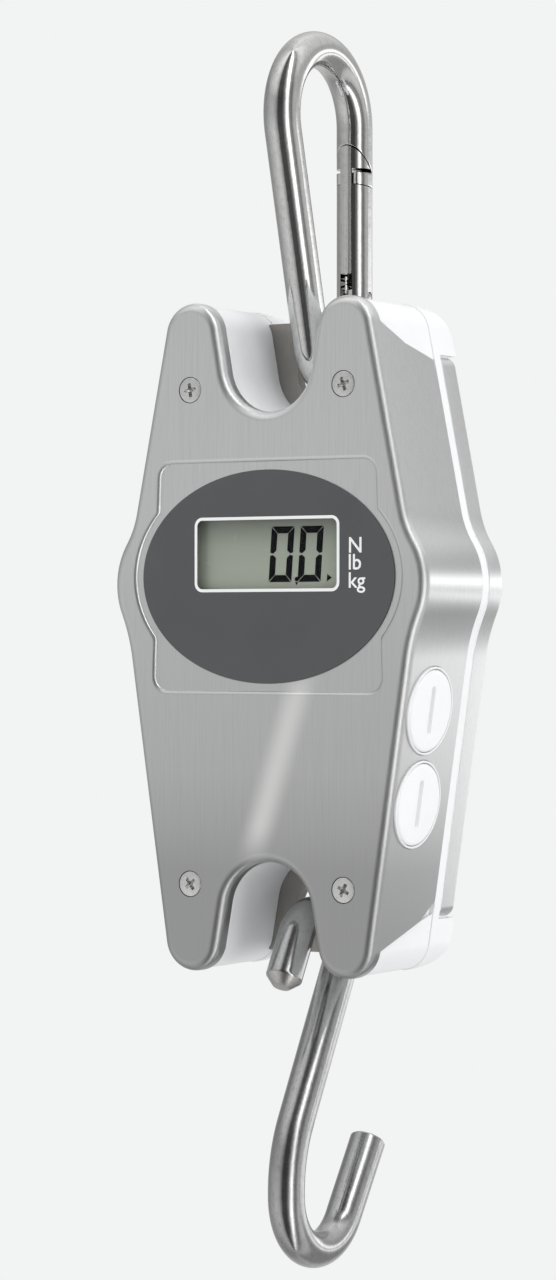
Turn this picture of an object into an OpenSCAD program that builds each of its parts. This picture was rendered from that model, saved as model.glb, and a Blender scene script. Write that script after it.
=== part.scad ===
// Hanging crane scale: a snap hook above, a sealed steel-clad display housing, and a load hook below.
// The origin is the inside top of the snap hook's bow, where the scale hangs. +Z is up, -Y is the display side.

/* [Housing] */
// Depth of the housing, front face to back face
body_depth = 35.5; // [35:0.5:37]
// Height of the lobe tips above and below the housing's centre
lobe_tip_z = 72.3; // [71.5:0.1:73]
// Distance of each lobe's centre from the middle plane
lobe_x = 19.2; // [19:0.1:19.6]
// Radius of the lobe tips
lobe_r = 7; // [6.8:0.1:7.2]
// Half width of the housing at its widest point
bulge_x = 39.2; // [38.8:0.1:40]
// Height of the widest point above the housing's centre
bulge_z = 11.4; // [10.5:0.1:12.5]
// Radius of the outline at the widest point
bulge_r = 17; // [16:0.5:18]
// Lean of the upper side walls from vertical, in degrees
upper_taper = 11.3; // [11:0.1:11.6]
// Lean of the lower side walls from vertical, in degrees
lower_taper = 8.4; // [8.1:0.1:8.7]
// Radius that blends the widest part into the upper side walls
upper_blend_r = 20; // [18:1:22]
// Radius that blends the widest part into the lower side walls
lower_blend_r = 40; // [36:1:44]
// Height of the bottom of each notch above and below the housing's centre
notch_z = 48.2; // [47.8:0.1:48.6]
// Lean of the notch side walls from vertical, in degrees
notch_flare = 10.2; // [9.8:0.1:10.6]

/* [Covers] */
// Thickness of the steel covers
skin_t = 1; // [0.8:0.1:1.1]
// Outside radius of the front cover's edge
edge_r = 2.2; // [2:0.1:2.6]
// Depth of the front cover's side walls
cover_depth = 25.2; // [24.8:0.1:25.6]
// Depth of the front cover's flange in the notches and round the lobe tips
flange_depth = 4; // [3.6:0.1:4.4]
// Width of the plastic band that shows between the covers
band_w = 2.8; // [2.4:0.1:3.2]
// Depth of the recess that holds the label
recess_depth = 0.6; // [0.4:0.1:0.7]

/* [Load path] */
// Diameter of the snap hook's rod and of the load hook's rod
rod_d = 8; // [7.8:0.1:8]
// Overall length of the snap hook
snap_hook_length = 80; // [79.5:0.1:80.5]
// Width of the snap hook, outside
snap_hook_width = 39; // [38.6:0.1:39.2]
// Thickness of the load cell's lugs
lug_t = 2.8; // [2.4:0.1:2.8]
// Diameter of the holes in the lugs
lug_hole_d = 12.2; // [12.2:0.1:12.6]

/* [Battery bays] */
// Diameter of the battery caps
cap_d = 17.7; // [17.4:0.1:17.8]
// Diameter of a battery cell
cell_d = 14.2; // [13.8:0.1:14.4]
// Length of a battery cell
cell_length = 50; // [49.5:0.1:50.2]

/* [Keys] */
// Diameter of a key
key_d = 6; // [5.6:0.1:6.2]
// Distance between keys
key_pitch = 8; // [7.8:0.1:8.2]
// Travel of a key
key_travel = 0.8; // [0.5:0.1:0.9]

/* [Hidden] */

STEEL = [0.74, 0.74, 0.72];
BRIGHT_STEEL = [0.82, 0.82, 0.82];
WHITE_PLASTIC = [0.93, 0.94, 0.95];
DARK_GREY = [0.31, 0.315, 0.32];
BOARD_GREEN = [0.1, 0.35, 0.2];
RUBBER = [0.2, 0.2, 0.21];
eps = 0.01;
// Chips and sockets on the board: corner as x and z, then size
BOARD_CHIPS = [[[-5, 14], [10, 1.4, 10]], [[-15, 16], [5, 1.2, 7]],
               [[8, 26], [6, 1.6, 4]], [[-13, 30], [10, 3, 3.4]]];
buzzer_d = 5;

// Places of the housing and of its layers. y runs from the front face backwards.
rod_r = rod_d / 2;
bow_r = (snap_hook_width - rod_d) / 2;
tail_r = 9.5;
tail_y = bow_r - tail_r;
bow_z = rod_r - bow_r;
tail_z = rod_d - snap_hook_length + rod_r + tail_r;
body_y = -4.5;
body_z = -124.4;
front_y = -body_depth / 2;
back_y = body_depth / 2;
edge_steps = 5;
recess_lip = 0.8;
seam_y = front_y + cover_depth;
rear_cover_y = seam_y + band_w;
skin_gap = 0.1;
fit_gap = 0.3;
housing_inset = skin_t + skin_gap;
proud_inset = 0.3;
wall_t = 2;
cavity_inset = housing_inset + wall_t;
cavity_z = 46;
notch_floor_z = cavity_z - 1;
notch_zone_h = 42;
floor_y = back_y - skin_t - skin_gap;
screw_x = 19.2;
screw_z = 53.4;
screw_r = 1.5;
head_r = 2.75;
cross_w = 0.72;
cross_l = 3.1;
cross_depth = 1.2;
bore_gap = 0.05;
cover_hole_r = head_r + 0.15;

// The front cover's side walls end on a slant between these two heights.
slant_low_z = 59.6;
slant_high_z = 64.9;
rear_cover_top_z = 61;

// Load cell
lug_front_y = 5.7;
lug_back_y = lug_front_y + lug_t;
lug_top_z = 69.1;
lug_half_w = 15;
upper_hole_z = 57.6;
lower_hole_z = -59.3;
lug_hole_r = lug_hole_d / 2;

// Label and display
label_z = 12.9;
label_rx = 31.5;
label_rz = 22.9;
label_margin = 1.6;
recess_top_z = 37.5;
recess_bottom_z = -11.6;
recess_top_x = 26.9;
recess_bottom_x = 28.3;
recess_r = 3;
window_z = 17.7;
window_w = 36.4;
window_h = 16.2;
window_r = 1.7;
label_t = 0.35;

// Battery bays, square to the lower right side wall
cap_z = [-15.6, -35.5];
cap_y = -6.4;
rim_d = 19.2;
cap_skirt = 5;
cap_head = 0.6;
spring_space = 2;
tube_d = 17;
tube_bottom = cap_skirt + cell_length + spring_space;
tube_floor_t = 1.4;
tube_length = tube_bottom + tube_floor_t;
rim_depth = 7.4;
rim_bore_depth = 9;
cell_play = 0.6;
tube_web_t = 2;
cell_nib_d = 5.4;
cell_nib_h = 1.1;
spring_wire_r = 0.25;
spring_coil_r = 5;
spring_turns = 3;

// Keys, square to the upper left side wall
key_z = 35;
key_y = -5;
key_flange = 0.8;
key_flange_r = 4;
key_proud = 0.8;
key_round = 0.6;
key_h = key_flange + skin_t + fit_gap + key_proud;
key_board_depth = 5.2;
key_board_t = 1;
key_board_w = 10;
key_board_l = 23;
switch_h = key_board_depth - skin_t - fit_gap - key_flange - key_travel - 0.1;
switch_w = 4.8;
switch_base_h = 1.2;
switch_r = 1.2;
rail_t = 1.6;
rail_length = 22;

// Board, display and seals
window_t = 1.4;
lcd_y = -15.4;
lcd_t = 2;
lcd_w = 40;
lcd_h = 21;
lcd_frame_w = lcd_w + 3.2;
lcd_frame_h = lcd_h + 3.2;
strip_inset = 1.4;
strip_h = 2;
board_y = -10.4;
board_t = 1.6;
board_w = 41;
board_bottom_z = 1.2;
board_top_z = 43;
board_x = 17.5;
board_screw_r = 1;
board_screw_length = board_t + 3;
board_head_r = 1.8;
board_head_h = 1.2;
post_r = 2.1;
post_front_y = -15;
lower_post_z = 3.5;
upper_post_z = 40;
lower_post_wall_x = 35.3;
upper_post_wall_x = 29;
post_web_t = 1.6;
post_web_lap = 0.4;
post_hole_depth = 3.6;
gasket_inset = 1.6;
gasket_t = 1;
lug_seal_w = 33;
lug_seal_d = 5.4;
lug_seal_h = 1.6;
lug_seal_z = 46.4;
lug_corner_r = 2;
neck_half_w = 12;
neck_z = 44;
cell_z = -4;
cell_w = 24;
cell_h = 52;
cell_extra_t = 2.6;
beam_hole_gap = 18;
beam_hole_r = 5;
beam_slot_w = 1.6;
gauge_w = 3.2;
gauge_h = 6;
gauge_t = 0.15;
gauge_inset = 2.6;
cell_screw_x = 8;
cell_screw_z = 37;
cell_screw_length = 8;
cell_head_r = 2.6;
cell_head_h = 2;
cell_head_floor = 0.8;
cell_key_r = 1.3;
cell_boss_r = 3.4;
head_h = 1.6;
front_screw_length = 10;
rear_screw_length = 16;
tip_round_r = 9;
rim_proud = 0.5;
cap_contact_t = 0.4;
seal_r = 0.6;
seal_depth = 2.6;
seal_groove = 1.3;
cap_round = 0.4;
cap_contact_r = 4.5;
slot_length = 10.6;
slot_w = 1.6;
slot_depth = 1.2;

// Snap hook's gate
gate_y = bow_r;
tongue_r = rod_r - 0.1;
rod_step = 0.02;
rod_lap = 0.15;
gate_pin_r = 1.2;
pivot_z = -49;
gate_bottom_z = pivot_z - 3.9;
shoulder_z = pivot_z - 5.9;
tongue_top = 2;
tongue_t = 2.4;
slot_half_w = 1.5;
slot_top_z = pivot_z + 5.2;
spring_r = 1.6;
spring_wire = 0.3;
spring_bore_r = spring_r + 0.6;
spring_bore_top = -33;

// Latch, as heights and as distances behind the gate's axis: the gate ends in a wedge on a flat core,
// and the nose ends in a fork whose two heads reach under the wedge.
nose_z = -20;
nose_slope = 1.25;
wedge_bottom_z = -20.5;
head_top_z = -21.4;
head_bottom_z = -24.4;
head_slope = 0.15;
head_y = -3.3;
fork_y = 0.75;
core_y = 1.5;
fork_back_y = core_y + fit_gap;
core_half_w = 1.5;
head_gap = 0.2;

// Load hook, in the plane x = 0: two bends over the lug, a leaning stem, a wide sweep and the throat
hook_r = 8;
hook_lean = 30;
hook_top_z = -60.6;
hook_front = [1.8, hook_top_z - hook_r];
hook_rear = [6.5, hook_top_z - hook_r];
free_length = 10.3;
throat_r = 13.3;
throat_c = [4.1, -120.6];
tip_lean = 35;
tip_length = 18.8;
// The sweep is tangent to the stem, and a short straight length joins it to the throat
sweep_z = throat_c[1] + 1;
sweep_r = (cos(hook_lean) * (throat_c[0] - throat_r - hook_rear[0])
           - sin(hook_lean) * (sweep_z - hook_rear[1]) - hook_r) / (1 - cos(hook_lean));
sweep_c = [throat_c[0] - throat_r + sweep_r, sweep_z];

// Outline of the housing, seen from the front, as x and z
function polar(c, r, a) = [c[0] + r * cos(a), c[1] + r * sin(a)];
function arc(c, r, a0, a1, n) = [for (i = [0:n]) polar(c, r, a0 + (a1 - a0) * i / n)];
function reversed(list) = [for (i = [len(list) - 1:-1:0]) list[i]];
function mirror_x(list) = [for (p = list) [-p[0], p[1]]];
function mirror_z(list) = [for (p = list) [p[0], -p[1]]];
function part_of(list, first, last) = [for (i = [first:last]) list[i]];

lobe_z = lobe_tip_z - lobe_r;
notch_r = (cos(notch_flare) * lobe_x - sin(notch_flare) * (lobe_z - notch_z) - lobe_r)
          / (1 - sin(notch_flare));

// Distance of a side wall's line from the housing's centre
function side_offset(taper) = cos(taper) * lobe_x + sin(taper) * lobe_z + lobe_r;
// Point on a side wall at height z
function side_point(taper, z, inset) =
    let (d = side_offset(taper) - inset, u = (z - sin(taper) * d) / cos(taper))
    [cos(taper) * d - sin(taper) * u, z];
// Centre of the arc that blends the bulge into a side wall
function blend_centre(taper, blend_r, bulge) =
    let (normal = [cos(taper), sin(taper)],
         along = [-sin(taper), cos(taper)],
         depth = side_offset(taper) - normal * bulge,
         reach = sqrt(pow(bulge_r + blend_r, 2) - pow(blend_r + depth, 2)))
    normal * (side_offset(taper) + blend_r) + along * (along * bulge + reach);
// End of the outline above the side wall: a round lobe and half a notch
function lobe_end(inset, taper) = concat(
    arc([lobe_x, lobe_z], lobe_r - inset, taper, 180 - notch_flare, 14),
    arc([0, notch_z + notch_r], notch_r + inset, -notch_flare, -90, 9));
// The same for the rear cover, which stops short with a flat top
function flat_end(inset, taper) =
    let (corner_r = 3,
         corner_z = rear_cover_top_z - corner_r,
         outer_x = (side_offset(taper) - corner_r - sin(taper) * corner_z) / cos(taper),
         notch_side = lobe_r - cos(notch_flare) * lobe_x + sin(notch_flare) * lobe_z,
         inner_x = (sin(notch_flare) * corner_z + corner_r - notch_side) / cos(notch_flare))
    concat(
        arc([outer_x, corner_z], corner_r - inset, taper, 90, 6),
        arc([inner_x, corner_z], corner_r - inset, 90, 180 - notch_flare, 6),
        arc([0, notch_z + notch_r], notch_r + inset, -notch_flare, -90, 9));
function quarter(taper, blend_r, widest_z, inset, flat) =
    let (bulge = [bulge_x - bulge_r, widest_z],
         blend = blend_centre(taper, blend_r, bulge),
         meet = atan2(blend[1] - bulge[1], blend[0] - bulge[0]))
    concat(
        arc(bulge, bulge_r - inset, 0, meet, 8),
        arc(blend, blend_r + inset, 180 + meet, 180 + taper, 6),
        flat ? [] : [side_point(taper, slant_low_z, inset), side_point(taper, slant_high_z, inset)],
        flat ? flat_end(inset, taper) : lobe_end(inset, taper));
function outline(inset, flat = false) =
    let (upper = quarter(upper_taper, upper_blend_r, bulge_z, inset, flat),
         lower = mirror_z(quarter(lower_taper, lower_blend_r, -bulge_z, inset, flat)),
         right = concat(reversed(part_of(lower, 1, len(lower) - 1)), upper),
         left = mirror_x(reversed(part_of(right, 1, len(right) - 2))))
    concat(right, left);

module at_body()
    translate([0, body_y, body_z])
        children();

// Extrudes an x-z shape from y0 to y1
module slab(y0, y1)
    translate([0, y1, 0])
        rotate([90, 0, 0])
            linear_extrude(height = y1 - y0)
                children();

// Puts +Z along the outward normal of the lower right side wall, at height z
module on_right_wall(z)
    let (p = side_point(lower_taper, -z, 0))
        translate([p[0], cap_y, z])
            rotate([0, 90 + lower_taper, 0])
                children();

// Puts +Z along the outward normal of the upper left side wall, at distance u along the wall
module on_left_wall(u)
    let (p = side_point(upper_taper, key_z, 0))
        translate([-p[0], key_y, key_z])
            rotate([0, -90 + upper_taper, 0])
                translate([u, 0, 0])
                    children();

module four_corners(x, z)
    for (sx = [-1, 1], sz = [-1, 1])
        translate([sx * x, 0, sz * z])
            children();

module rounded_rect(w, h, r)
    hull()
        for (sx = [-1, 1], sy = [-1, 1])
            translate([sx * (w / 2 - r), sy * (h / 2 - r)])
                circle(r = r, $fn = 32);

module recess_shape(grow) {
    top = recess_top_z - label_z;
    bottom = label_z - recess_bottom_z;
    translate([0, label_z]) {
        scale([label_rx + label_margin + grow, label_rz + label_margin + grow])
            circle(r = 1, $fn = 96);
        hull()
            for (s = [-1, 1]) {
                translate([s * (recess_top_x - recess_r), top - recess_r])
                    circle(r = recess_r + grow, $fn = 32);
                translate([s * (recess_bottom_x - recess_r), recess_r - bottom])
                    circle(r = recess_r + grow, $fn = 32);
            }
    }
}

// Sheet tray with its face at y = 0 and its walls towards +y. The edge's rounding is stepped.
module tray(depth, flat)
    difference() {
        union() {
            slab(edge_r, depth)
                polygon(outline(0, flat));
            for (i = [0:edge_steps - 1])
                slab(edge_r * (1 - cos(90 * i / edge_steps)), edge_r + eps)
                    polygon(outline(edge_r * (1 - sin(90 * (i + 0.5) / edge_steps)), flat));
        }
        slab(skin_t, edge_r + eps)
            polygon(outline(edge_r));
        slab(edge_r, depth + 1)
            polygon(outline(skin_t));
    }

module front_cover() {
    color(STEEL)
        at_body()
            difference() {
                union() {
                    translate([0, front_y, 0])
                        tray(cover_depth, false);
                    slab(front_y + skin_t / 2, front_y + skin_t + recess_depth)
                        recess_shape(recess_lip);
                }
                bare_zone(front_y + flange_depth, 0);
                notch_zone(front_y + flange_depth);
                slab(front_y - 1, front_y + recess_depth)
                    recess_shape(0);
                slab(front_y - 1, front_y + 3)
                    translate([0, window_z])
                        rounded_rect(window_w, window_h, window_r);
                four_corners(screw_x, screw_z)
                    out_of_front()
                        translate([0, 0, -skin_t - 1])
                            cylinder(r = cover_hole_r, h = skin_t + 2, $fn = 48);
                for (z = cap_z)
                    on_right_wall(z)
                        translate([0, 0, -3])
                            cylinder(d = rim_d, h = 6, $fn = 64);
                for (k = [-1:1])
                    on_left_wall(k * key_pitch)
                        translate([0, 0, -3])
                            cylinder(r = key_d / 2 + fit_gap, h = 6, $fn = 48);
            }
}

module rear_cover() {
    color(STEEL)
        at_body()
            difference() {
                translate([0, back_y, 0])
                    mirror([0, 1, 0])
                        tray(back_y - rear_cover_y, true);
                four_corners(screw_x, screw_z)
                    out_of_back()
                        translate([0, 0, -skin_t - 1])
                            cylinder(r = cover_hole_r, h = skin_t + 2, $fn = 48);
            }
}

// Countersunk screw along +Z, its head's face at 0 and its shank below
module countersunk_screw(length) {
    difference() {
        union() {
            translate([0, 0, -head_h])
                cylinder(r1 = screw_r, r2 = head_r, h = head_h, $fn = 48);
            translate([0, 0, -length])
                cylinder(r = screw_r, h = length - head_h + eps, $fn = 32);
        }
        for (a = [45, 135])
            rotate([0, 0, a])
                translate([-cross_l / 2, -cross_w / 2, -cross_depth])
                    cube([cross_l, cross_w, cross_depth + 1]);
    }
}
module countersunk_hole(length) {
    translate([0, 0, -head_h - bore_gap])
        cylinder(r1 = screw_r + bore_gap, r2 = head_r + bore_gap + 1, h = head_h + bore_gap + 1, $fn = 48);
    translate([0, 0, -length])
        cylinder(r = screw_r + bore_gap, h = length, $fn = 32);
}
// Puts +Z out of the front face or out of the back face
module out_of_front()
    translate([0, front_y, 0])
        rotate([90, 0, 0])
            children();
module out_of_back()
    translate([0, back_y, 0])
        rotate([-90, 0, 0])
            children();

// Ends of the housing that the steel covers leave bare, and the walls of the notches
module bare_zone(y0, gap)
    for (s = [-1, 1])
        mirror([0, 0, s < 0 ? 1 : 0])
            rotate([90, 0, 90])
                linear_extrude(height = 120, center = true)
                    polygon([
                        [y0, slant_high_z + gap], [seam_y, slant_low_z + gap],
                        [rear_cover_y, slant_low_z + gap], [rear_cover_y, rear_cover_top_z + gap],
                        [back_y + 1, rear_cover_top_z + gap], [back_y + 1, lobe_tip_z + 1],
                        [y0, lobe_tip_z + 1]]);
module notch_zone(y0)
    slab(y0, rear_cover_y)
        for (s = [-1, 1])
            translate([0, s * (notch_floor_z + notch_zone_h / 2)])
                square([2 * lobe_x, notch_zone_h], center = true);
// Shell that lies inside a cover's walls and rounded edge
module under_cover(depth)
    difference() {
        union() {
            slab(housing_inset, depth)
                polygon(outline(edge_r + skin_gap));
            slab(edge_r + skin_gap, depth)
                polygon(outline(housing_inset));
        }
        slab(housing_inset + wall_t, depth + 1)
            cavity_shape();
    }
module cavity_shape()
    intersection() {
        polygon(outline(cavity_inset));
        square([200, 2 * cavity_z], center = true);
    }
module lug_shape(grow)
    for (s = [-1, 1])
        mirror([0, s < 0 ? 1 : 0]) {
            translate([-lug_half_w - grow, 0])
                square([2 * (lug_half_w + grow), lug_top_z - lug_corner_r]);
            translate([lug_corner_r - lug_half_w, 0])
                square([2 * (lug_half_w - lug_corner_r), lug_top_z + grow]);
            for (sx = [-1, 1])
                translate([sx * (lug_half_w - lug_corner_r), lug_top_z - lug_corner_r])
                    circle(r = lug_corner_r + grow, $fn = 32);
        }
// Pocket for the rubber frames that seal the lugs
module lug_seal_space(grow)
    for (s = [-1, 1])
        translate([0, (lug_front_y + lug_back_y) / 2, s * lug_seal_z])
            cube([lug_seal_w + grow, lug_seal_d + grow, lug_seal_h + grow], center = true);
module housing_rails()
    for (s = [-1, 1])
        on_left_wall(0)
            translate([-rail_length / 2, s * (key_board_w / 2 + rail_t / 2 + skin_gap) - rail_t / 2,
                       -key_board_depth - key_board_t])
                cube([rail_length, rail_t, key_board_depth + key_board_t - housing_inset - 1]);
module board_post(x, z, wall_x)
    for (s = [-1, 1]) {
        translate([s * x, board_y, z])
            rotate([90, 0, 0])
                difference() {
                    cylinder(r = post_r, h = board_y - post_front_y, $fn = 32);
                    translate([0, 0, -1])
                        cylinder(r = board_screw_r + bore_gap, h = post_hole_depth + 1, $fn = 24);
                }
        translate([s > 0 ? x + post_r - post_web_lap : -wall_x, post_front_y, z - post_web_t / 2])
            cube([wall_x - x - post_r + post_web_lap, board_y - post_front_y, post_web_t]);
    }

module front_housing() {
    color(WHITE_PLASTIC)
        at_body()
            difference() {
                union() {
                    translate([0, front_y, 0])
                        under_cover(cover_depth);
                    intersection() {
                        slab(front_y + flange_depth + skin_gap, seam_y)
                            difference() {
                                polygon(outline(proud_inset));
                                cavity_shape();
                            }
                        union() {
                            bare_zone(front_y + flange_depth, skin_gap);
                            notch_zone(front_y);
                        }
                    }
                    housing_rails();
                    board_post(board_x, lower_post_z, lower_post_wall_x);
                    board_post(board_x, upper_post_z, upper_post_wall_x);
                }
                slab(front_y, front_y + skin_t + recess_depth + skin_gap)
                    recess_shape(recess_lip + skin_gap);
                slab(front_y, board_y)
                    translate([0, window_z])
                        square([lcd_frame_w + 2 * skin_gap, lcd_frame_h + 2 * skin_gap], center = true);
                slab(lug_front_y - skin_gap, seam_y + 1)
                    lug_shape(skin_gap);
                lug_seal_space(skin_gap);
                slab(seam_y - gasket_t / 2, seam_y + 1)
                    gasket_shape(skin_gap / 2);
                four_corners(screw_x, screw_z) {
                    out_of_front()
                        countersunk_hole(front_screw_length + 1);
                    out_of_back()
                        countersunk_hole(rear_screw_length + 1);
                }
                for (z = cap_z)
                    on_right_wall(z) {
                        translate([0, 0, -rim_bore_depth])
                            cylinder(d = rim_d, h = rim_bore_depth + 3, $fn = 64);
                        translate([0, 0, -tube_length - fit_gap])
                            cylinder(d = tube_d + 2 * skin_gap, h = tube_length, $fn = 64);
                    }
                for (k = [-1:1])
                    on_left_wall(k * key_pitch)
                        translate([0, 0, -wall_t - housing_inset - 1])
                            cylinder(r = key_flange_r + fit_gap, h = wall_t + 3, $fn = 48);
            }
}

module rear_housing() {
    color(WHITE_PLASTIC)
        at_body()
            difference() {
                union() {
                    translate([0, back_y, 0])
                        mirror([0, 1, 0])
                            under_cover(back_y - seam_y);
                    difference() {
                        slab(seam_y, rear_cover_y - skin_gap)
                            polygon(outline(skin_gap));
                        slab(seam_y - 1, rear_cover_y)
                            cavity_shape();
                    }
                    intersection() {
                        slab(seam_y, back_y)
                            polygon(outline(proud_inset));
                        bare_zone(seam_y, skin_gap);
                        back_profile();
                    }
                    cell_screws_at()
                        translate([0, lug_back_y + skin_gap, 0])
                            rotate([-90, 0, 0])
                                cylinder(r = cell_boss_r, h = floor_y - wall_t - lug_back_y, $fn = 40);
                }
                slab(seam_y - 1, lug_back_y + skin_gap)
                    lug_shape(skin_gap);
                lug_seal_space(skin_gap);
                slab(seam_y - 1, seam_y + gasket_t / 2)
                    gasket_shape(skin_gap / 2);
                four_corners(screw_x, screw_z)
                    out_of_back()
                        countersunk_hole(rear_screw_length + 1);
                cell_screws_at()
                    translate([0, lug_front_y, 0])
                        rotate([-90, 0, 0])
                            cylinder(r = screw_r + bore_gap, h = cell_screw_length + 0.5, $fn = 32);
            }
}
// Side view of the lobes: flush with the back cover, then rounded over towards the tips
module back_profile()
    rotate([90, 0, 90])
        linear_extrude(height = 120, center = true)
            polygon(concat(
                [[seam_y - 1, -lobe_tip_z - 1]],
                arc([back_y - tip_round_r, tip_round_r - lobe_tip_z - 0.2], tip_round_r, -90, 0, 12),
                arc([back_y - tip_round_r, lobe_tip_z + 0.2 - tip_round_r], tip_round_r, 0, 90, 12),
                [[seam_y - 1, lobe_tip_z + 1]]));

module gasket_shape(grow)
    difference() {
        intersection() {
            polygon(outline(gasket_inset - grow));
            square([200, 2 * (cavity_z + gasket_t + grow)], center = true);
        }
        intersection() {
            polygon(outline(gasket_inset + gasket_t + grow));
            square([200, 2 * (cavity_z - grow)], center = true);
        }
        square([lug_seal_w + 2 * fit_gap, 200], center = true);
    }
module housing_gasket() {
    color(RUBBER)
        at_body()
            slab(seam_y - gasket_t / 2 + skin_gap, seam_y + gasket_t / 2 - skin_gap)
                gasket_shape(0);
}
module lug_seals() {
    color(RUBBER)
        at_body()
            difference() {
                lug_seal_space(0);
                slab(lug_front_y - 0.05, lug_back_y + 0.05)
                    lug_shape(0.05);
            }
}

module front_label() {
    color(DARK_GREY)
        at_body()
            slab(front_y + recess_depth - label_t, front_y + recess_depth)
                translate([0, label_z])
                    difference() {
                        scale([label_rx, label_rz])
                            circle(r = 1, $fn = 120);
                        translate([0, window_z - label_z])
                            rounded_rect(window_w - 1.4, window_h - 1.4, window_r);
                    }
}
module display_window() {
    color([0.8, 0.85, 0.85, 0.4])
        at_body()
            slab(front_y + recess_depth, front_y + recess_depth + window_t)
                translate([0, window_z])
                    rounded_rect(window_w - 0.2, window_h - 0.2, window_r);
}
module lcd_panel() {
    color([0.62, 0.66, 0.6])
        at_body()
            slab(lcd_y, lcd_y + lcd_t)
                translate([0, window_z])
                    square([lcd_w, lcd_h], center = true);
}
module lcd_frame() {
    color(WHITE_PLASTIC)
        at_body()
            difference() {
                slab(lcd_y - 0.2, board_y)
                    translate([0, window_z])
                        square([lcd_frame_w, lcd_frame_h], center = true);
                slab(lcd_y, board_y + 1)
                    translate([0, window_z])
                        square([lcd_w + 0.2, lcd_h + 0.2], center = true);
                slab(lcd_y - 1, board_y)
                    translate([0, window_z])
                        square([window_w, window_h], center = true);
            }
}
module lcd_strips() {
    color(RUBBER)
        at_body()
            for (s = [-1, 1])
                translate([0, 0, window_z + s * (lcd_h / 2 - strip_inset)])
                    slab(lcd_y + lcd_t, board_y)
                        square([lcd_w - 4, strip_h], center = true);
}
module main_board() {
    color(BOARD_GREEN)
        at_body()
            difference() {
                slab(board_y, board_y + board_t)
                    translate([-board_w / 2, board_bottom_z])
                        square([board_w, board_top_z - board_bottom_z]);
                for (s = [-1, 1], z = [lower_post_z, upper_post_z])
                    translate([s * board_x, board_y + board_t + 1, z])
                        rotate([90, 0, 0])
                            cylinder(r = board_screw_r + 0.1, h = board_t + 2, $fn = 24);
            }
}
module board_parts() {
    color(DARK_GREY)
        at_body()
            translate([0, board_y + board_t, 0]) {
                for (chip = BOARD_CHIPS)
                    translate([chip[0][0], 0, chip[0][1]])
                        cube(chip[1]);
                translate([12, 0, 8])
                    rotate([-90, 0, 0])
                        cylinder(d = buzzer_d, h = buzzer_d, $fn = 32);
            }
}
module board_screws() {
    color(BRIGHT_STEEL)
        at_body()
            for (s = [-1, 1], z = [lower_post_z, upper_post_z])
                translate([s * board_x, board_y + board_t, z])
                    rotate([-90, 0, 0]) {
                        cylinder(r = board_head_r, h = board_head_h, $fn = 32);
                        translate([0, 0, -board_screw_length])
                            cylinder(r = board_screw_r, h = board_screw_length + eps, $fn = 24);
                    }
}

module cell_screws_at()
    for (s = [-1, 1])
        translate([s * cell_screw_x, 0, cell_screw_z])
            children();
module load_cell() {
    color(STEEL)
        at_body()
            difference() {
                union() {
                    slab(lug_front_y, lug_back_y)
                        difference() {
                            lug_shape(0);
                            for (s = [-1, 1])
                                translate([s * (neck_half_w + 10), 0])
                                    square([20, 2 * neck_z], center = true);
                        }
                    slab(lug_front_y - cell_extra_t, lug_back_y + cell_extra_t)
                        translate([0, cell_z])
                            square([cell_w, cell_h], center = true);
                }
                for (z = [upper_hole_z, lower_hole_z])
                    translate([0, lug_back_y + 1, z])
                        rotate([90, 0, 0])
                            cylinder(r = lug_hole_r, h = lug_t + 2, $fn = 96);
                for (s = [-1, 1])
                    translate([0, lug_back_y + 10, cell_z + s * beam_hole_gap / 2])
                        rotate([90, 0, 0])
                            cylinder(r = beam_hole_r, h = 30, $fn = 64);
                translate([-beam_slot_w / 2, -10, cell_z - beam_hole_gap / 2])
                    cube([beam_slot_w, 30, beam_hole_gap]);
                cell_screws_at()
                    translate([0, lug_back_y + 1, 0])
                        rotate([90, 0, 0])
                            cylinder(r = screw_r + 0.15, h = lug_t + 2, $fn = 32);
            }
}
module strain_gauges() {
    color([0.8, 0.6, 0.3])
        at_body()
            for (sx = [-1, 1], sz = [-1, 1])
                translate([sx * (cell_w / 2 - gauge_inset) - gauge_w / 2, lug_back_y + cell_extra_t,
                           cell_z + (sz * beam_hole_gap - gauge_h) / 2])
                    cube([gauge_w, gauge_t, gauge_h]);
}
module gauge_flex() {
    flex_t = 0.25;
    flex_w = 4;
    flex_x = 16.8;
    flex_z = 19;
    cell_end_x = 3;
    board_end_x = 14.5;
    back = lug_back_y + cell_extra_t;
    front = board_y + board_t;
    color([0.75, 0.5, 0.15])
        at_body() {
            translate([cell_end_x, back, flex_z])
                cube([flex_x - cell_end_x + flex_t, flex_t, flex_w]);
            translate([flex_x, front, flex_z])
                cube([flex_t, back - front + flex_t, flex_w]);
            translate([board_end_x, front, flex_z])
                cube([flex_x - board_end_x + flex_t, flex_t, flex_w]);
        }
}
module load_cell_screws() {
    color(BRIGHT_STEEL)
        at_body()
            cell_screws_at()
                translate([0, lug_front_y, 0])
                    rotate([-90, 0, 0]) {
                        translate([0, 0, -cell_head_floor])
                            cylinder(r = screw_r, h = cell_screw_length + cell_head_floor, $fn = 32);
                        difference() {
                            translate([0, 0, -cell_head_h])
                                cylinder(r = cell_head_r, h = cell_head_h, $fn = 40);
                            translate([0, 0, -cell_head_h - 1])
                                cylinder(r = cell_key_r, h = cell_head_h + 1 - cell_head_floor, $fn = 6);
                        }
                    }
}

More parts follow.
